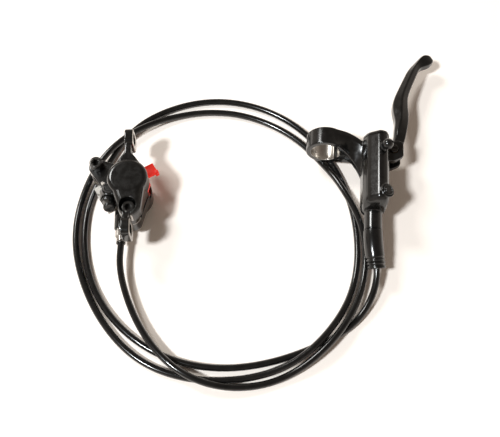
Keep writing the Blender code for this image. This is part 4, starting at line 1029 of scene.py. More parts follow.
@dataclass
class LeverCasting:
    """Clamp ring, arm, reservoir, cylinder and pivot lugs in one casting."""

    bore: float = 0.0222
    outside: float = 0.0298
    width: float = 0.0145
    split: float = 0.0030
    bolt_place: float = 0.0178
    bolt_radius: float = 0.0025
    bolt_head: float = 0.0042
    bolt_sunk: float = 0.0023
    arm_depth: float = 0.0140
    arm_flat: float = 0.0045
    arm_radii: tuple[float, ...] = (0.0015, 0.0015, 0.0016, 0.0040, 0.0030)
    arm_stations: tuple[tuple[float, ...], ...] = (
        (-0.0010, -0.0068, 0.0068, -0.0070, 0.0146, 0.0144),
        (0.0060, -0.0070, 0.0068, -0.0070, 0.0139, 0.0134),
        (0.0110, -0.0078, 0.0066, -0.0070, 0.0127, 0.0100),
        (0.0160, -0.0095, 0.0060, -0.0070, 0.0113, 0.0050),
        (0.0200, -0.0122, 0.0049, -0.0070, 0.0101, 0.0012),
        (0.0240, -0.0168, 0.0030, -0.0070, 0.0093, -0.0012),
        (0.0268, -0.0222, 0.0012, -0.0070, 0.0089, -0.0026),
        (0.0290, -0.0278, 0.0004, -0.0070, 0.0086, -0.0030),
        (0.0310, -0.0318, 0.0002, -0.0070, 0.0084, -0.0030),
        (0.0380, -0.0330, 0.0002, -0.0070, 0.0084, -0.0030),
    )
    lug_reach: float = 0.0235
    barrel: float = 0.0374
    section: tuple[Spot, ...] = (
        (0.0280, -0.0050), (0.0280, 0.0105), (0.0305, 0.0162), (0.0398, 0.0221), (0.0448, 0.0199),
        (0.0468, 0.0155), (0.0468, -0.0050), (0.0435, -0.0092), (0.0313, -0.0092),
    )
    corners: tuple[float, ...] = (0.003, 0.004, 0.0100, 0.0050, 0.0036, 0.0028, 0.0035, 0.003, 0.003)
    core: Spot = (0.0374, 0.0060)
    top: float = 0.0008
    length: float = 0.0500
    taper: float = 0.0070
    neck: float = 0.00675
    neck_end: float = 0.0714
    pivot: Point = (0.0515, -0.0050, 0.0)
    pivot_hole: float = 0.0038
    hub_tall: float = 0.0090
    lug_tall: float = 0.0040
    lug_corners: tuple[Spot, ...] = (
        (0.0380, -0.0152), (0.0520, -0.0152), (0.0592, -0.0110), (0.0592, 0.0012), (0.0560, 0.0028),
        (0.0380, 0.0004),
    )
    master: float = 0.0053
    master_start: float = 0.0145
    master_end: float = 0.0500
    tank_radius: float = 0.0066
    tank_height: float = 0.0118
    tank_length: float = 0.0440
    plug_root: Point = (0.0436, -0.0470, 0.0172)
    plug_aim: Point = (0.46, 0.0, 0.888)
    plug_radius: float = 0.0042
    knob_root: Point = (0.0396, -0.0126, 0.0212)
    knob_aim: Point = (0.0050, 0.0015, 0.0046)
    knob_rise: float = 0.0012

    def outline(self) -> list[Spot]:
        """Rounded body section, anticlockwise seen along the lever's axis."""
        return softened(list(self.section)[::-1], list(self.corners)[::-1], 8)

    def knob_place(self) -> Matrix:
        """Seat of the bleed screw, in the lever's frame."""
        root = Vector(self.knob_root) + Vector(self.knob_aim).normalized() * self.knob_rise
        return aimed(root, self.knob_aim)

    def body(self) -> Item:
        """Reservoir and barrel that flow into the round neck."""
        count, steps = 144, 12
        full = rays(self.outline(), self.core, count)
        neck = round_points(self.neck, count, (self.barrel, 0.0))
        rings = [[(x, self.top, z) for x, z in full], [(x, -self.length, z) for x, z in full]]
        for step in range(1, steps + 1):
            share = step / steps
            ease = 1.0 - math.sqrt(max(0.0, 1.0 - share ** 2.4))
            y = -self.length - self.taper * share
            pairs = zip(full, neck)
            rings.append([(ax + (bx - ax) * ease, y, az + (bz - az) * ease) for (ax, az), (bx, bz) in pairs])
        rings.append([(x, -self.neck_end, z) for x, z in neck])
        return Bench.solid(skinned(rings))

    def arm(self) -> Item:
        """Arm that flows out of the ring and thins towards the body."""
        rings = []
        for x, front, back, low, high, lip in spline(self.arm_stations, 36):
            corners = [(front, low), (back, low), (back, high), (back - self.arm_flat, high), (front, lip)]
            ring = softened(corners, self.arm_radii, 8)
            rings.append([(x, y, z) for y, z in ring])
        return Bench.solid(skinned(rings))

    def build(self, paint: Paint) -> Item:
        """Join, cut and round the casting."""
        item = self.body()
        half = self.width / 2 - 0.0004
        lug = box_points((0.0007, -half), (self.lug_reach, half), 0.003)
        low, high = -self.outside / 2 + 0.0003, -self.arm_depth / 2 + 0.001
        parts = [self.arm(), Bench.lathe(chamfered(self.outside / 2, self.width / 2), 128, ALONG)]
        parts.append(Bench.prism(lug, low, high, 0.0008))
        shape = softened(list(self.lug_corners), 0.0035, 6)
        for sign in (1, -1):
            ends = sorted((sign * self.hub_tall / 2, sign * (self.hub_tall / 2 + self.lug_tall + GAP)))
            parts.append(Bench.prism(shape, *ends, 0.0007))
        at_plug = aimed(self.plug_root, self.plug_aim)
        parts.append(Bench.rod(self.plug_radius + 0.0012, -0.0050, 0.0034, 72, at_plug))
        Bench.weld(item, parts, LEVER_GRID)
        Bench.combine(item, self.cutters(), Operation.CUT)
        item.data.transform(LEVER)
        Bench.cast(item, LEVER_GRID, CAST_PASSES)
        return Bench.finish(item, "lever_casting", paint, "black_casting", Body.ROOT, "lever_housing")

    def cutters(self) -> list[Item]:
        """Bores, pockets and the clamp split."""
        wide = self.width
        split_top = -self.arm_depth / 2 + 0.0015
        gap = box_points((0.0003, -wide), (self.lug_reach + 0.002, wide), 0.0002, 1)
        bolt = Matrix.Translation((self.bolt_place, 0.0, 0.0))
        back = -self.master_start - 0.0002
        pocket = [(0.0325, back), (0.0620, back), (0.0620, 0.0030), (0.0440, 0.0030), (0.0325, -0.0012)]
        clear = self.hub_tall / 2 + GAP
        start, outlet = self.master_start - 0.003, self.neck_end + 0.001
        bore = [
            (0.0, start), (self.master, start), (self.master, self.master_end),
            (0.0010, self.master_end + 0.002), (0.0010, 0.0580), (NUT_BORE, 0.0580),
            (NUT_BORE, outlet), (0.0, outlet),
        ]
        tank = Matrix.Translation((self.barrel, 0.0, self.tank_height)) @ ALONG
        return [
            Bench.rod(self.bore / 2, -wide, wide, 128, ALONG),
            Bench.prism(gap, split_top - self.split, split_top),
            Bench.rod(self.bolt_radius + GAP, -0.020, 0.0030, 40, bolt),
            Bench.rod(self.bolt_head + GAP, -0.020, -self.outside / 2 + self.bolt_sunk, 40, bolt),
            Bench.prism(pocket, -clear, clear),
            Bench.lathe(bore, 48, Matrix.Translation((self.barrel, 0.0, 0.0)) @ ALONG),
            Bench.rod(self.tank_radius, -0.010, self.tank_length, 48, tank),
            Bench.rod(self.pivot_hole, -0.020, 0.020, 40, Matrix.Translation(self.pivot)),
            Bench.rod(0.0042, -0.0007, 0.010, 48, self.knob_place()),
            Bench.rod(self.plug_radius + GAP, -GAP, 0.010, 48, aimed(self.plug_root, self.plug_aim)),
        ]

    def lid(self, paint: Paint) -> Item:
        """Domed lid on the reservoir's end."""
        count, thick, dome = 144, 0.0030, 0.0022
        start = self.top + GAP
        rings = [[(x, start, z) for x, z in rays(self.outline(), self.core, count)]]
        for step in range(1, 9):
            turn = math.pi / 2 * step / 8
            edge = rays(inset(self.outline(), dome * (1 - math.cos(turn))), self.core, count)
            rings.append([(x, start + thick * (0.25 + 0.75 * math.sin(turn)), z) for x, z in edge])
        item = Bench.solid(skinned(rings))
        lug_top = self.hub_tall / 2 + self.lug_tall + 2 * GAP
        notch = box_points((0.020, -0.010), (0.070, 0.020), 0.0005, 1)
        Bench.combine(item, [Bench.prism(notch, -0.030, lug_top)], Operation.CUT)
        item.data.transform(LEVER)
        return Bench.finish(
            item, "reservoir_cover", paint, "black_casting", Body.ROOT, "reservoir_lid", crease=40.0,
        )


@dataclass
class Blade:
    """Lever blade with its hub and cam.

    Attributes:
        stations: X, Y, width, height, middle height, and place of the ridge divided by ridge_scale.
    """

    stations: tuple[tuple[float, ...], ...] = (
        (0.0545, -0.0010, 0.0080, 0.0086, 0.0000, 0.0016), (0.0574, 0.0095, 0.0092, 0.0092, 0.0000, 0.0022),
        (0.0583, 0.0160, 0.0099, 0.0110, -0.0002, 0.0028), (0.0593, 0.0240, 0.0106, 0.0124, -0.0006, 0.0037),
        (0.0590, 0.0320, 0.0119, 0.0130, -0.0010, 0.0047), (0.0586, 0.0400, 0.0123, 0.0130, -0.0014, 0.0055),
        (0.0600, 0.0495, 0.0103, 0.0128, -0.0019, 0.0054), (0.0627, 0.0580, 0.0091, 0.0126, -0.0024, 0.0052),
        (0.0664, 0.0680, 0.0086, 0.0124, -0.0030, 0.0050), (0.0702, 0.0770, 0.0077, 0.0118, -0.0036, 0.0046),
        (0.0741, 0.0833, 0.0068, 0.0106, -0.0042, 0.0032), (0.0775, 0.0867, 0.0086, 0.0108, -0.0046, 0.0018),
        (0.0814, 0.0899, 0.0100, 0.0108, -0.0050, 0.0012), (0.0845, 0.0922, 0.0082, 0.0084, -0.0052, 0.0020),
        (0.0862, 0.0936, 0.0034, 0.0040, -0.0053, 0.0030),
    )
    pivot: Point = (0.0515, -0.0050, 0.0)
    hub_radius: float = 0.0070
    hub_tall: float = 0.0090
    eye: float = 0.0038
    cam_end: float = 0.0158
    cam_half: float = 0.0030
    cam_tall: float = 0.0076
    lengthwise: int = 110
    ridge_scale: float = 100.0

    def ring(self, centre: Vector, ahead: Vector, wide: float, tall: float, ridge: float) -> list[Point]:
        """One section with a crisp ridge on top.

        Args:
            centre: Middle of the section.
            ahead: Direction of the blade there.
            wide: Width.
            tall: Height.
            ridge: Place of the ridge, from 0 at the rider's side to 1 at the far side.

        Returns:
            Points of the section.
        """
        across = Vector((ahead.y, -ahead.x, 0.0)).normalized()
        corners = (
            (0.34, -0.50), (0.50, -0.24), (0.50, 0.24), (ridge - 0.50, 0.50), (-0.50, 0.24),
            (-0.50, -0.30), (-0.32, -0.50),
        )
        radii = [wide * share for share in (0.14, 0.12, 0.16, 0.20, 0.16, 0.12, 0.14)]
        section = softened([(u * wide, v * tall) for u, v in corners], radii, 7)
        return [tuple(centre + across * u + Vector((0.0, 0.0, v))) for u, v in section]

    def build(self, paint: Paint) -> Item:
        """Loft the blade, join hub and cam, and round the whole."""
        fine = spline(self.stations, self.lengthwise)
        places = [Vector((p[0], p[1], p[4])) for p in fine]
        rings = []
        for index, point in enumerate(fine):
            ahead = places[min(index + 1, len(places) - 1)] - places[max(index - 1, 0)]
            wide, tall = max(point[2], 0.002), max(point[3], 0.003)
            rings.append(self.ring(places[index], ahead, wide, tall, point[5] * self.ridge_scale))
        item = Bench.solid(skinned(rings), LEVER)
        at_pivot = LEVER @ Matrix.Translation(self.pivot)
        hub = Bench.lathe(chamfered(self.hub_radius, self.hub_tall / 2), 96, at_pivot)
        cam = box_points((-self.cam_end, -self.cam_half), (0.0, self.cam_half), 0.0008)
        cam = Bench.prism(cam, -self.cam_tall / 2, self.cam_tall / 2, 0.0003, at_pivot)
        Bench.combine(item, [hub, cam], Operation.JOIN)
        Bench.combine(item, [Bench.rod(self.eye, -0.010, 0.010, 48, at_pivot)], Operation.CUT)
        Bench.cast(item, CAST_GRID, FORGED_PASSES)
        return Bench.finish(item, "lever_blade_forging", paint, "black_casting", Body.ARM, "lever_blade")


def socket_bolt(head: float, tall: float, shank: float, length: float, key: float) -> Item:
    """Socket head bolt along Z with its head above zero.

    Args:
        head: Head radius.
        tall: Head height.
        shank: Shank radius.
        length: Length below the head.
        key: Half width of the socket across its flats.

    Returns:
        A scratch object at the origin.
    """
    profile = [(0.0, -length), (shank - 0.0004, -length), (shank, -length + 0.0004), (shank, -0.0002)]
    profile += [(head - 0.0003, 0.0), (head, 0.0003)]
    profile += arc((head - RIM, tall - RIM), (RIM, RIM), 0.0, 90.0, 5)
    profile += [(key * 1.35, tall), (0.0, tall)]
    item = Bench.lathe(profile, 72)
    hexagon = softened(round_points(key / math.cos(math.pi / 6), 6), 0.0003, 3)
    low, high = tall - 0.0004, tall + 0.0001
    lead = [(0.0, low), (key * 1.12, low), (key * 1.3, high), (0.0, high)]
    tools = [Bench.prism(hexagon, tall * 0.35, tall + GAP), Bench.lathe(lead, 48)]
    Bench.combine(item, tools, Operation.CUT)
    return item


@dataclass
class LeverTrim:
    """Bleed knob, side plug, return spring, clamp screw and pivot pin."""

    casting: LeverCasting
    rings: RowOfRings
    teeth: RingOfTeeth

    def knob(self, paint: Paint) -> None:
        """Round-headed bleed screw with a grip and a hex recess."""
        size, middle = 0.0041, 0.0052
        profile = [(0.0, 0.0), (0.0030, 0.0), (0.0030, 0.0012), (0.0024, 0.0015), (0.0024, 0.0022)]
        profile += [(0.0031, 0.0026)] + arc((0.0, middle), (size, size), -45.0, 90.0, 12)
        profile[-1] = (0.0, middle + size)
        item = Bench.lathe(profile, 64)
        hexagon = softened(round_points(0.0014, 6), 0.0002, 2)
        Bench.combine(item, [Bench.prism(hexagon, 0.0070, 0.0110)], Operation.CUT)
        self.teeth.grow(item, size - 0.00006, 0.00014, 0.0012, middle, 34, paint)
        item.data.transform(LEVER @ self.casting.knob_place())
        Bench.finish(item, "bleed_knob", paint, "gloss_black", Body.ROOT, "bleed_screw", crease=40.0)

    def plug(self, paint: Paint) -> None:
        """Round plug on the reservoir's shoulder, with a shallow dish and a slot ring."""
        size, tall, sunk = self.casting.plug_radius, 0.0042, 0.0003
        profile = [(0.0, 0.0), (size, 0.0), (size, tall - RIM), (size - 0.0002, tall - 0.0002)]
        profile += [(size - 0.0006, tall), (size - 0.0010, tall), (size - 0.0012, tall - sunk)]
        profile += [(size - 0.0015, tall - sunk), (size - 0.0017, tall), (0.0, tall)]
        item = Bench.lathe(profile, 72, LEVER @ aimed(self.casting.plug_root, self.casting.plug_aim))
        Bench.finish(item, "shoulder_plug", paint, "black_casting", Body.ROOT, "reservoir_plug", crease=40.0)

    def spring(self, paint: Paint) -> None:
        """Coil spring ahead of the master piston."""
        low, high, stroke = 0.0306, 0.0494, 0.0059
        wire, coil, turns, steps, sides = 0.0004, 0.0034, 6, 168, 10
        place = LEVER @ Matrix.Translation((self.casting.barrel, 0.0, 0.0)) @ ALONG
        rings = []
        for step in range(steps + 1):
            turn = 2 * math.pi * turns * step / steps
            height = low + wire + (high - low - 2 * wire) * step / steps
            section = [(coil + out, height + rise) for out, rise in round_points(wire, sides)]
            corners = [(out * math.cos(turn), out * math.sin(turn), rise) for out, rise in section]
            rings.append([world(place, corner) for corner in corners])
        item = Bench.solid(skinned(rings))
        Bench.finish(item, "coil_spring", paint, "bright_steel", Body.ROOT, "return_spring", crease=60.0)
        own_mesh(item)

    def clamp_screw(self, paint: Paint) -> None:
        """Clamp bolt with thread crests, seen in the ring's split."""
        cast = self.casting
        shank, length = cast.bolt_radius, 0.0145
        item = socket_bolt(cast.bolt_head, 0.00175, shank - 0.00012, length, 0.0020)
        self.rings.thread(item, 0.0006 - length, 0.00022, shank - 0.00020, 16, 0.0008, paint)
        place = LEVER @ Matrix.Translation((cast.bolt_place, 0.0, -cast.outside / 2 + cast.bolt_sunk - GAP))
        item.data.transform(place @ Matrix.Rotation(math.pi, 4, "X"))
        Bench.finish(item, "clamp_screw", paint, "bright_steel", Body.ROOT, "clamp_bolt", crease=40.0)

    def pin(self, paint: Paint) -> None:
        """Pivot pin with a domed head and a screwdriver slot."""
        end, size, head, seat = 0.0088, 0.0022, 0.0034, 0.0088 + GAP
        profile = [(0.0, -end - 0.0006), (size - 0.0003, -end - 0.0006), (size, -end - 0.0003)]
        profile += [(size, seat), (head, seat)]
        profile += arc((head - 0.0008, end + 0.0009), (0.0008, 0.0006), 0.0, 90.0, 5)
        item = Bench.lathe(profile + [(0.0, end + 0.0015)], 64)
        slot = box_points((-0.0040, -0.0004), (0.0040, 0.0004), 0.0001, 1)
        Bench.combine(item, [Bench.prism(slot, end + 0.0008, end + 0.0020)], Operation.CUT)
        item.data.transform(LEVER @ Matrix.Translation(self.casting.pivot))
        Bench.finish(item, "pivot_screw", paint, "dark_steel", Body.ROOT, "pivot_pin", crease=40.0)


@dataclass
class Caliper:
    """The two cast halves."""

    pot: float = 0.0150
    flat: float = 0.0118
    rise: float = 0.0210
    shoulder: float = 0.0035
    outer_flange: float = 0.0100
    inner_flange: float = 0.0120
    edge: float = 0.0011
    bolts: tuple[Spot, ...] = ((-0.0277, 0.0169), (-0.0023, -0.0207))
    bosses: tuple[float, float] = (0.0066, 0.0070)
    bolt_radius: float = 0.0030
    bolt_head: float = 0.0049
    spot_face: float = 0.0013
    plug_place: Spot = (-0.0174, -0.0045)
    plug_boss: float = 0.0054
    plug_rise: float = 0.0150
    plug_radius: float = 0.00395
    plug_tall: float = 0.0030
    nipple_root: Point = (-0.0187, -0.0107, 0.0300)
    nipple_aim: Point = (0.0024, -0.0094, 0.0040)
    cap_radius: float = 0.0048
    ear_span: float = 0.0740
    ear_height: float = 0.0360
    ear_wide: float = 0.0134
    ear_tall: float = 0.0140
    ear_drop: float = 0.0055
    ear_thick: float = 0.0065
    slot_wide: float = 0.0080
    slot_tall: float = 0.0118
    arm_thick: float = 0.0048
    arm_tall: float = 0.0115
    pocket_half: float = 0.0114
    bore: float = 0.0113
    port: Point = (-0.0110, 0.0, 0.0115)
    port_radius: float = 0.0055
    port_end: float = 0.0270
    port_depth: float = 0.0134
    rotor_reach: float = 0.0735
    rotor_sweep: float = 0.0815
    rotor_slot: float = 0.0034
    pin: Spot = (-0.0172, 0.0086)
    seam_half: float = 0.00015
    pocket_depth: float = 0.00735

    def level(self, side: int, height: float) -> float:
        """Height above the table of a level measured from the seam into one half."""
        return SEAM + side * height

    def slab(
        self, side: int, outline: Sequence[Spot], low: float, high: float, edge: float = 0.0,
        place: Matrix = CALIPER,
    ) -> Item:
        """Prism measured from the seam, with a round outer rim only."""
        rings = [(outline, low), (outline, high - edge)]
        for step in range(1, 5) if edge else ():
            turn = math.pi / 2 * step / 4
            rings.append((inset(outline, edge * (1 - math.cos(turn))), high - edge * (1 - math.sin(turn))))
        levels = [[(x, y, self.level(side, height)) for x, y in ring] for ring, height in rings]
        return Bench.solid(skinned(levels), place)

    def drum(self, side: int, profile: Sequence[Spot]) -> Item:
        """Turned solid round the pot's axis, with its heights measured from the seam."""
        at_pot = CALIPER @ Matrix.Translation((*POT_CENTRE, 0.0))
        return Bench.lathe([(r, self.level(side, h)) for r, h in profile], 128, at_pot)

    def across(self, outline: Sequence[Spot], low: float, high: float, edge: float = 0.0) -> Item:
        """Prism of a (T, Z) outline along the caliper's N axis."""
        rings = [(outline, low), (outline, high)]
        if edge:
            slim = inset(outline, edge)
            rings = [(slim, low), (outline, low + edge), (outline, high - edge), (slim, high)]
        return Bench.solid(skinned([[(n, t, z) for t, z in ring] for ring, n in rings]), CALIPER)

    def body(self, side: int, flange: float) -> Item:
        """Pot, wing and tail of one half."""
        px, py = POT_CENTRE
        crest = self.flat - 0.0004
        profile = [(0.0, self.seam_half), (self.pot, self.seam_half)]
        profile += arc((crest, self.rise - self.shoulder), (self.pot - crest, self.shoulder), 0.0, 90.0, 8)
        item = self.drum(side, profile + [(0.0, self.rise)])
        wing = belt((*self.bolts[0], self.bosses[0]), (px - 0.0020, py, 0.0128), (-0.0212, 0.0030, 0.0040))
        tail = belt((*self.bolts[1], self.bosses[1]), (px, py, 0.0146))
        parts = [self.slab(side, shape, self.seam_half, flange, self.edge) for shape in (wing, tail)]
        if side > 0:
            x, y = self.bolts[1]
            crown = belt((x + 0.0010, y + 0.0012, 0.0088), (px, py - 0.0010, 0.0132))
            parts.append(self.slab(side, crown, flange - 0.002, self.rise - 0.0001, 0.0046))
            neck = belt((-0.0040, 0.0235, 0.0026), (px, py, 0.0142))
            parts.append(self.slab(side, neck, 0.0085, self.rise - 0.0012, 0.0020))
        Bench.combine(item, parts, Operation.JOIN)
        return item

    def ears(self) -> tuple[list[Item], list[Item]]:
        """Arms and ears to join, and slots to cut."""
        parts, slots = [], []
        px, py = POT_CENTRE
        bottom, top = self.ear_height - self.ear_tall / 2, self.ear_height + self.ear_tall / 2
        low, back = bottom + 0.0005, -self.ear_thick + 0.0003
        front = back + self.arm_thick
        half = (self.slot_tall - self.slot_wide) / 2
        for sign in (1, -1):
            middle = sign * self.ear_span / 2
            root = sign * (self.pot - 0.0010) + py
            neck = middle - sign * self.ear_wide * 0.45
            waist = root + (neck - root) * 0.45
            arm = [(px - 0.0080, root), (px + 0.0080, root), (front, waist), (front, neck)]
            arm = softened((arm + [(back, neck), (back, waist)])[::sign], 0.0040, 6)
            parts.append(Bench.prism(arm, low, low + self.arm_tall, 0.0009, CALIPER))
            near, far = middle - self.ear_wide / 2, middle + self.ear_wide / 2
            ear = box_points((near, bottom - self.ear_drop), (far, top), 0.0052, 8)
            parts.append(self.across(ear, -self.ear_thick, 0.0, 0.0005))
            ends = [(middle, self.ear_height - 0.0012 + s * half, self.slot_wide / 2) for s in (-1, 1)]
            slots.append(self.across(belt(*ends), -self.ear_thick - 0.001, 0.001))
        return parts, slots

    def hollows(self, side: int) -> list[Item]:
        """Pad pocket, rotor slot, piston bore and holes of one half."""
        pocket = box_points((-0.040, -self.pocket_half), (0.030, self.pocket_half), 0.0002, 1)
        sweep = round_points(self.rotor_sweep, 180, (self.rotor_reach, 0.0))
        start, end = self.pocket_depth - 0.001, self.rise - 0.0033
        tools = [
            self.slab(side, pocket, -GAP, self.pocket_depth, place=ROTOR),
            self.slab(side, sweep, -GAP, self.rotor_slot / 2, place=ROTOR),
            self.drum(side, [(0.0, start), (self.bore, start), (self.bore, end), (0.0, end)]),
        ]
        for spot in self.bolts:
            at_bolt = CALIPER @ Matrix.Translation((*spot, 0.0))
            tools.append(Bench.rod(self.bolt_radius + GAP, -0.005, 0.050, 48, at_bolt))
        tools.append(Bench.rod(PIN_BORE, 0.0, 0.045, 24, ROTOR @ Matrix.Translation((*self.pin, 0.0))))
        return tools

    def outer(self, paint: Paint) -> Item:
        """Outboard half with ears, plug boss and nipple boss."""
        item = self.body(1, self.outer_flange)
        x, y = self.plug_place
        boss = belt((x, y, self.plug_boss), (x + 0.008, y + 0.003, self.plug_boss))
        parts, slots = self.ears()
        parts.append(self.slab(1, boss, self.seam_half, self.plug_rise, self.edge))
        lean = CALIPER @ aimed(self.nipple_root, self.nipple_aim)
        parts.append(Bench.rod(self.cap_radius + 0.0006, -0.0085, 0.0, 64, lean))
        Bench.combine(item, parts, Operation.JOIN)
        at_bolt = CALIPER @ Matrix.Translation((*self.bolts[1], 0.0))
        at_plug = CALIPER @ Matrix.Translation((x, y, 0.0))
        seat, top = self.level(1, self.outer_flange) + GAP / 2, self.level(1, self.plug_rise)
        tools = self.hollows(1) + slots + [
            Bench.rod(self.bolt_head + self.spot_face, seat, 0.050, 72, at_bolt),
            Bench.rod(self.plug_radius + GAP, top - self.plug_tall - GAP, top + 0.001, 64, at_plug),
            Bench.rod(self.cap_radius + 0.0005, -GAP / 2, 0.020, 56, lean),
            Bench.rod(0.0030, -0.0045, 0.001, 40, lean),
        ]
        Bench.combine(item, tools, Operation.CUT)
        Bench.cast(item, CAST_GRID, CAST_PASSES)
        return Bench.finish(item, "caliper_outboard", paint, "black_casting", Body.ROOT, "caliper_outer_half")

    def inner(self, paint: Paint) -> Item:
        """Inboard half with the hose port."""
        item = self.body(-1, self.inner_flange)
        lean = CALIPER @ Matrix.Translation(self.port) @ ALONG
        size, end, rim = self.port_radius, self.port_end, 0.0005
        boss = [(0.0, 0.0060), (size, 0.0060), (size, end - rim), (size - rim, end), (0.0, end)]
        Bench.combine(item, [Bench.lathe(boss, 80, lean)], Operation.JOIN)
        tools = self.hollows(-1) + [Bench.rod(NUT_BORE, self.port_depth, end + 0.001, 48, lean)]
        Bench.combine(item, tools, Operation.CUT)
        Bench.cast(item, CAST_GRID, CAST_PASSES)
        return Bench.finish(item, "caliper_inboard", paint, "black_casting", Body.ROOT, "caliper_inner_half")


@dataclass
class CaliperTrim:
    """Bolts, plug, nipple cap, hose fitting and the transport wedge."""

    caliper: Caliper
    rings: RowOfRings
    teeth: RingOfTeeth

    def bolts(self, paint: Paint) -> None:
        """Two socket bolts with gripped heads and threaded tails."""
        cast = self.caliper
        top = cast.level(1, cast.outer_flange) + GAP
        length = top - 0.0045
        for number, spot in enumerate(cast.bolts, 1):
            item = socket_bolt(cast.bolt_head - 0.00018, 0.0070, 0.0028, length, 0.0025)
            self.teeth.grow(item, cast.bolt_head - 0.00022, 0.00020, 0.0048, 0.0032, 36, paint)
            self.rings.thread(item, 0.0007 - length, 0.00024, 0.00275, 14, 0.0010, paint)
            item.data.transform(CALIPER @ Matrix.Translation((*spot, top)))
            name, node = f"socket_bolt_{number}", f"body_bolt_{number}"
            Bench.finish(item, name, paint, "dark_steel", Body.ROOT, node, crease=40.0)

    def plug(self, paint: Paint) -> None:
        """Flush passage plug with a ring groove."""
        cast = self.caliper
        top, size = cast.level(1, cast.plug_rise), cast.plug_radius
        low, sunk, high = top - cast.plug_tall, top + 0.0003, top + 0.0008
        profile = [(0.0, low), (size, low), (size, top + 0.0002), (size - 0.0005, high)]
        profile += [(size - 0.0009, high), (size - 0.0012, sunk), (size - 0.0015, sunk)]
        profile += [(size - 0.0018, high), (0.0, high)]
        item = Bench.lathe(profile, 80, CALIPER @ Matrix.Translation((*cast.plug_place, 0.0)))
        Bench.finish(item, "flush_plug", paint, "black_casting", Body.ROOT, "passage_plug", crease=35.0)

    def nipple_cap(self, paint: Paint) -> None:
        """Fat rubber cap with a bead at its mouth and a round end."""
        cast = self.caliper
        size, low, high = cast.cap_radius, 0.0006, 0.0100
        profile = [(0.0, 0.0081), (0.0025, 0.0081), (0.0032, 0.0045), (0.0032, low)]
        profile += arc((size - 0.0004, low + 0.0010), (0.0004, 0.0010), -90.0, 90.0, 8)
        profile += [(size - 0.0006, low + 0.0026), (size - 0.0007, high - 0.0032)]
        profile += arc((size - 0.0016, high - 0.0018), (0.0012, 0.0018), 0.0, 90.0, 8) + [(0.0, high)]
        item = Bench.lathe(profile, 72, CALIPER @ aimed(cast.nipple_root, cast.nipple_aim))
        Bench.finish(item, "bleed_cap", paint, "gloss_black", Body.ROOT, "nipple_cap", crease=50.0)

    def fitting(self, paint: Paint) -> None:
        """Hexagon connecting screw with a rolled neck."""
        cast, count = self.caliper, 72
        low, shoulder, end, inner = 0.0150, cast.port_end + GAP, 0.0370, 0.0028
        hexagon = softened(round_points(0.0040 / math.cos(math.pi / 6), 6), 0.0003, 3)
        hexagon = rays(hexagon, (0.0, 0.0), count)
        profile = [
            (0.0039, low), (0.0039, shoulder - 0.0002), (0.0037, shoulder + 0.0002), (0.0, shoulder + 0.0003),
            (0.0, shoulder + 0.0056), (0.0037, shoulder + 0.0057), (0.0037, shoulder + 0.0066),
            (0.0034, shoulder + 0.0069), (0.0034, end - 0.0004), (0.0031, end), (inner, end), (inner, low),
        ]
        rings = [[(x, y, h) for x, y in (round_points(r, count) if r else hexagon)] for r, h in profile]
        place = CALIPER @ Matrix.Translation(cast.port) @ ALONG
        item = Bench.solid(skinned(rings, closed=True), place)
        Bench.finish(item, "connecting_screw", paint, "bright_steel", Body.ROOT, "hose_fitting", crease=30.0)

    def wedge(self, paint: Paint) -> None:
        """Red transport spacer with a lipped finger tab."""
        half, back, front = 0.0106, -0.0117, 0.0145
        near, far, reach = 0.0019, 0.0114, 0.0240
        outline = [
            (back, -half), (0.0085, -half), (front, -0.0040), (front, near), (reach, near), (reach, far),
            (front, far), (front, half), (back, half),
        ]
        low, high = SEAM - 0.0012, SEAM + 0.0012
        item = Bench.prism(softened(outline, 0.0006, 4), low, high, 0.0003, ROTOR)
        lip = box_points((reach - 0.0022, near - 0.0010), (reach + 0.0006, near + 0.0022), 0.0006, 4)
        Bench.combine(item, [Bench.prism(lip, low - 0.0012, high + 0.0010, 0.0003, ROTOR)], Operation.JOIN)
        Bench.finish(item, "transport_wedge", paint, "red_plastic", Body.ROOT, "pad_spacer", crease=40.0)


def dress_carried(table: Sequence[tuple[Paint, Sequence[str]]]) -> None:
    """Give the CAD nodes that stay as they are their finishes."""
    for paint, names in table:
        for name in names:
            materials = frame["nodes"][name].data.materials
            materials.clear()
            materials.append(paint)


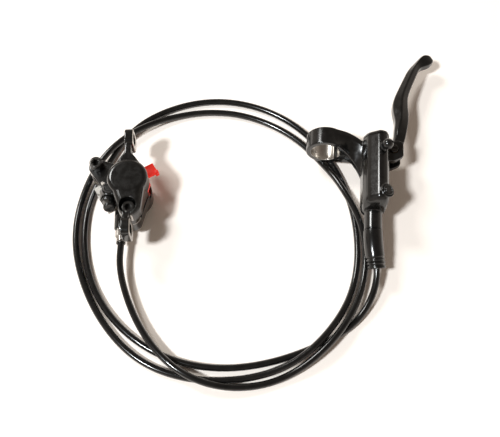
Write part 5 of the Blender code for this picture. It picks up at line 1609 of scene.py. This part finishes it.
@dataclass
class Studio:
    """Camera, lamps, surroundings and pale floor."""

    camera_place: Point = (-0.0158, -0.2774, 0.4926)
    camera_tilt: float = 25.0
    lens: float = 50.44
    key_place: Point = (-1.1500, -0.8000, 1.9800)
    key_size: float = 0.34
    key_power: float = 54.0
    strip_place: Point = (-0.7550, 0.6470, 1.0500)
    strip_size: float = 0.40
    strip_power: float = 9.5
    floor: Colour = (0.90, 0.87, 0.84)
    backdrop: Colour = (1.08, 1.00, 0.925)

    def camera(self) -> None:
        """The photograph's camera."""
        data = bpy.data.cameras.new("camera")
        data.lens = self.lens
        data.sensor_width = 36.0
        data.clip_start, data.clip_end = 0.01, 20.0
        item = bpy.data.objects.new("camera", data)
        item.location = self.camera_place
        item.rotation_euler = (math.radians(self.camera_tilt), 0.0, 0.0)
        bpy.context.scene.collection.objects.link(item)
        bpy.context.scene.camera = item

    def lamp(self, name: str, place: Point, target: Point, size: float, power: float, tint: Colour) -> None:
        """One area lamp that faces a target."""
        data = bpy.data.lights.new(name, "AREA")
        data.shape = "DISK"
        data.size = size
        data.energy = power
        data.color = tint
        item = bpy.data.objects.new(name, data)
        item.location = place
        item.rotation_euler = (Vector(target) - Vector(place)).to_track_quat("-Z", "Y").to_euler()
        bpy.context.scene.collection.objects.link(item)

    def surroundings(self) -> None:
        """Pale walls that darken and warm towards the ceiling."""
        made = bpy.data.worlds.new("studio")
        bpy.context.scene.world = made
        made.use_nodes = True
        graph = Nodes(made.node_tree)
        generated = graph.node("ShaderNodeTexCoord", {}).outputs["Generated"]
        height = graph.node("ShaderNodeSeparateXYZ", {0: generated}).outputs["Z"]
        ramp = graph.node("ShaderNodeValToRGB", {0: height})
        stops = ramp.color_ramp.elements
        stops[0].position, stops[0].color = 0.0, (0.62, 0.55, 0.49, 1.0)
        stops[1].position, stops[1].color = 1.0, (0.105, 0.085, 0.070, 1.0)
        for place, colour in ((0.28, (0.52, 0.45, 0.39, 1.0)), (0.62, (0.20, 0.165, 0.138, 1.0))):
            stops.new(place).color = colour
        light = graph.node("ShaderNodeBackground", {"Color": ramp.outputs[0]})
        graph.node("ShaderNodeOutputWorld", {0: light.outputs[0]})

    def table(self) -> None:
        """Wide pale floor, as bright as the photograph's where the camera sees it."""
        shape = bmesh.new()
        bmesh.ops.create_grid(shape, x_segments=1, y_segments=1, size=6.0)
        item = Bench.solid(shape, Matrix.Translation((0.0, 0.0, -0.00005)), "table_top")
        graph = Graph("table_paper")
        shade = tuple(value * 0.985 for value in self.floor)
        pale = graph.mix(graph.span(graph.noise(0.004, 3.0), 0.3, 0.7), self.floor, shade)
        graph.surface({"Base Color": pale, "Roughness": 0.75, "Specular IOR Level": 0.1})
        bright = graph.node("ShaderNodeBsdfDiffuse", {"Color": self.backdrop})
        ray = graph.node("ShaderNodeLightPath", {}).outputs
        seen = graph.math("MAXIMUM", ray["Is Camera Ray"], ray["Is Glossy Ray"])
        seen = graph.math("MAXIMUM", seen, ray["Is Transmission Ray"])
        shaders = {0: seen, 1: graph.shader.outputs[0], 2: bright.outputs[0]}
        graph.feed(graph.output.inputs[0], graph.node("ShaderNodeMixShader", shaders).outputs[0])
        item.data.materials.append(graph.material)

    def build(self) -> None:
        """Set the whole studio."""
        bpy.context.scene.view_settings.view_transform = "Standard"
        self.camera()
        middle, lever = (0.0, -0.04, 0.0), (0.08, -0.08, 0.04)
        self.lamp("key", self.key_place, middle, self.key_size, self.key_power, (0.93, 0.97, 1.0))
        self.lamp("strip", self.strip_place, lever, self.strip_size, self.strip_power, (1.0, 1.0, 0.98))
        self.surroundings()
        self.table()


def patches_of_lever(casting: LeverCasting) -> tuple[Patch, ...]:
    """Machined zones of the lever's casting."""
    axis = heading(LEVER, (0.0, 1.0, 0.0))
    return (Patch(Zone.BORE, world(LEVER, (0.0, 0.0, 0.0)), axis, casting.bore / 2 + 0.00035),)


def patches_of_caliper() -> tuple[Patch, ...]:
    """Machined zones of the caliper's outer half."""
    across, along = heading(CALIPER, (1.0, 0.0, 0.0)), heading(CALIPER, (0.0, 1.0, 0.0))
    origin = world(CALIPER, (0.0, 0.0, 0.0))
    return (
        Patch(Zone.FACE, origin, across, 0.00045, 0.0280, along),
        Patch(Zone.BAND, (0.0, 0.0, SEAM), (0.0, 0.0, 1.0), 0.00055),
    )


def main() -> None:
    """Build, dress and report every piece."""
    logging.basicConfig(level=logging.INFO, format="%(message)s")
    Studio().build()
    casting, caliper, run = LeverCasting(), Caliper(), HoseRun()
    bright = Metal("turned_steel", (0.66, 0.64, 0.61), (0.34, 0.31, 0.28)).build()
    dark_steel = Metal(
        "black_oxide_steel", (0.105, 0.101, 0.096), (0.045, 0.043, 0.041), 0.14, 0.26, metallic=0.85,
    ).build()
    zinc = Metal("zinc_plating", (0.44, 0.43, 0.41), (0.33, 0.32, 0.30), 0.26, 0.38, 0.8, 0.000002).build()
    brass = Metal("drawn_brass", (0.70, 0.50, 0.20), (0.42, 0.28, 0.10)).build()
    bronze = Metal("sintered_bronze", (0.48, 0.31, 0.15), (0.25, 0.15, 0.07), 0.38, 0.5).build()
    anodised = Metal("anodised_piston", (0.32, 0.26, 0.16), (0.18, 0.14, 0.08), 0.25, 0.38).build()
    gloss = Moulded(
        "gloss_rubber", (0.0040, 0.0040, 0.0040), (0.0070, 0.0069, 0.0067), 0.19, 0.45, coat=0.25,
    ).build()
    cover = Moulded(
        "hose_cover", (0.0042, 0.0041, 0.0040), (0.0080, 0.0078, 0.0075), 0.17, 0.45, depth=0.000005,
        coat=0.2,
    ).build()
    seal = Moulded("seal_rubber", (0.012, 0.012, 0.012), (0.022, 0.021, 0.020), 0.55, 0.3).build()
    resin = Moulded("piston_resin", (0.16, 0.13, 0.10), (0.24, 0.20, 0.16), 0.5, 0.3).build()
    # The red wedge carries a painted glow that keeps its tab bright inside the caliper's shadow.
    plastic = Moulded(
        "red_wedge", (0.66, 0.014, 0.008), (0.86, 0.028, 0.014), 0.28, 0.45, coat=0.3, through=0.3,
        glow=(1.0, 0.1, 0.05), painted_glow=0.42,
    ).build()
    zones, caliper_zones = patches_of_lever(casting), patches_of_caliper()
    paint = CastPaint().build()
    paint_lever = CastPaint("lever_cast_paint", patches=zones, tooling=(0.5, 8.0, 0.5)).build()
    paint_caliper = CastPaint("caliper_cast_paint", patches=caliper_zones, tooling=(6.0, 0.6, 0.6)).build()
    paint_blade = CastPaint("blade_cast_paint", gloss=0.15, specular=0.45).build()
    paint_plug = CastPaint("plug_cast_paint", (0.016, 0.0155, 0.015), (0.028, 0.027, 0.026)).build()
    run.build(cover, ["hose_collar"])
    Boot().build(run, gloss)
    casting.build(paint_lever)
    casting.lid(paint)
    Blade().build(paint_blade)
    rings, teeth = RowOfRings("row_of_rings"), RingOfTeeth("ring_of_teeth")
    lever_trim = LeverTrim(casting, rings, teeth)
    lever_trim.knob(gloss)
    lever_trim.plug(paint)
    lever_trim.spring(bright)
    lever_trim.clamp_screw(bright)
    lever_trim.pin(dark_steel)
    caliper.outer(paint_caliper)
    caliper.inner(paint_caliper)
    trim = CaliperTrim(caliper, rings, teeth)
    trim.bolts(dark_steel)
    trim.plug(paint_plug)
    trim.nipple_cap(gloss)
    trim.fitting(bright)
    trim.wedge(plastic)
    dress_carried((
        (bright, ("bleed_nipple", "hose_nut", "push_rod", "pad_pin", "pad_spring")),
        (bright, ("caliper_hose_insert", "lever_hose_insert")),
        (zinc, ("outer_pad_plate", "inner_pad_plate")),
        (brass, ("caliper_olive", "lever_olive")),
        (bronze, ("upper_pivot_bush", "lower_pivot_bush")),
        (anodised, ("master_piston",)),
        (seal, ("primary_cup", "secondary_cup", "outer_piston_seal", "inner_piston_seal")),
        (seal, ("bleed_o_ring", "reservoir_diaphragm")),
        (resin, ("outer_piston", "inner_piston")),
        (Friction().build(), ("outer_pad_lining", "inner_pad_lining")),
        (dark_steel, ("hose_collar",)),
    ))


if __name__ == "__main__":
    main()
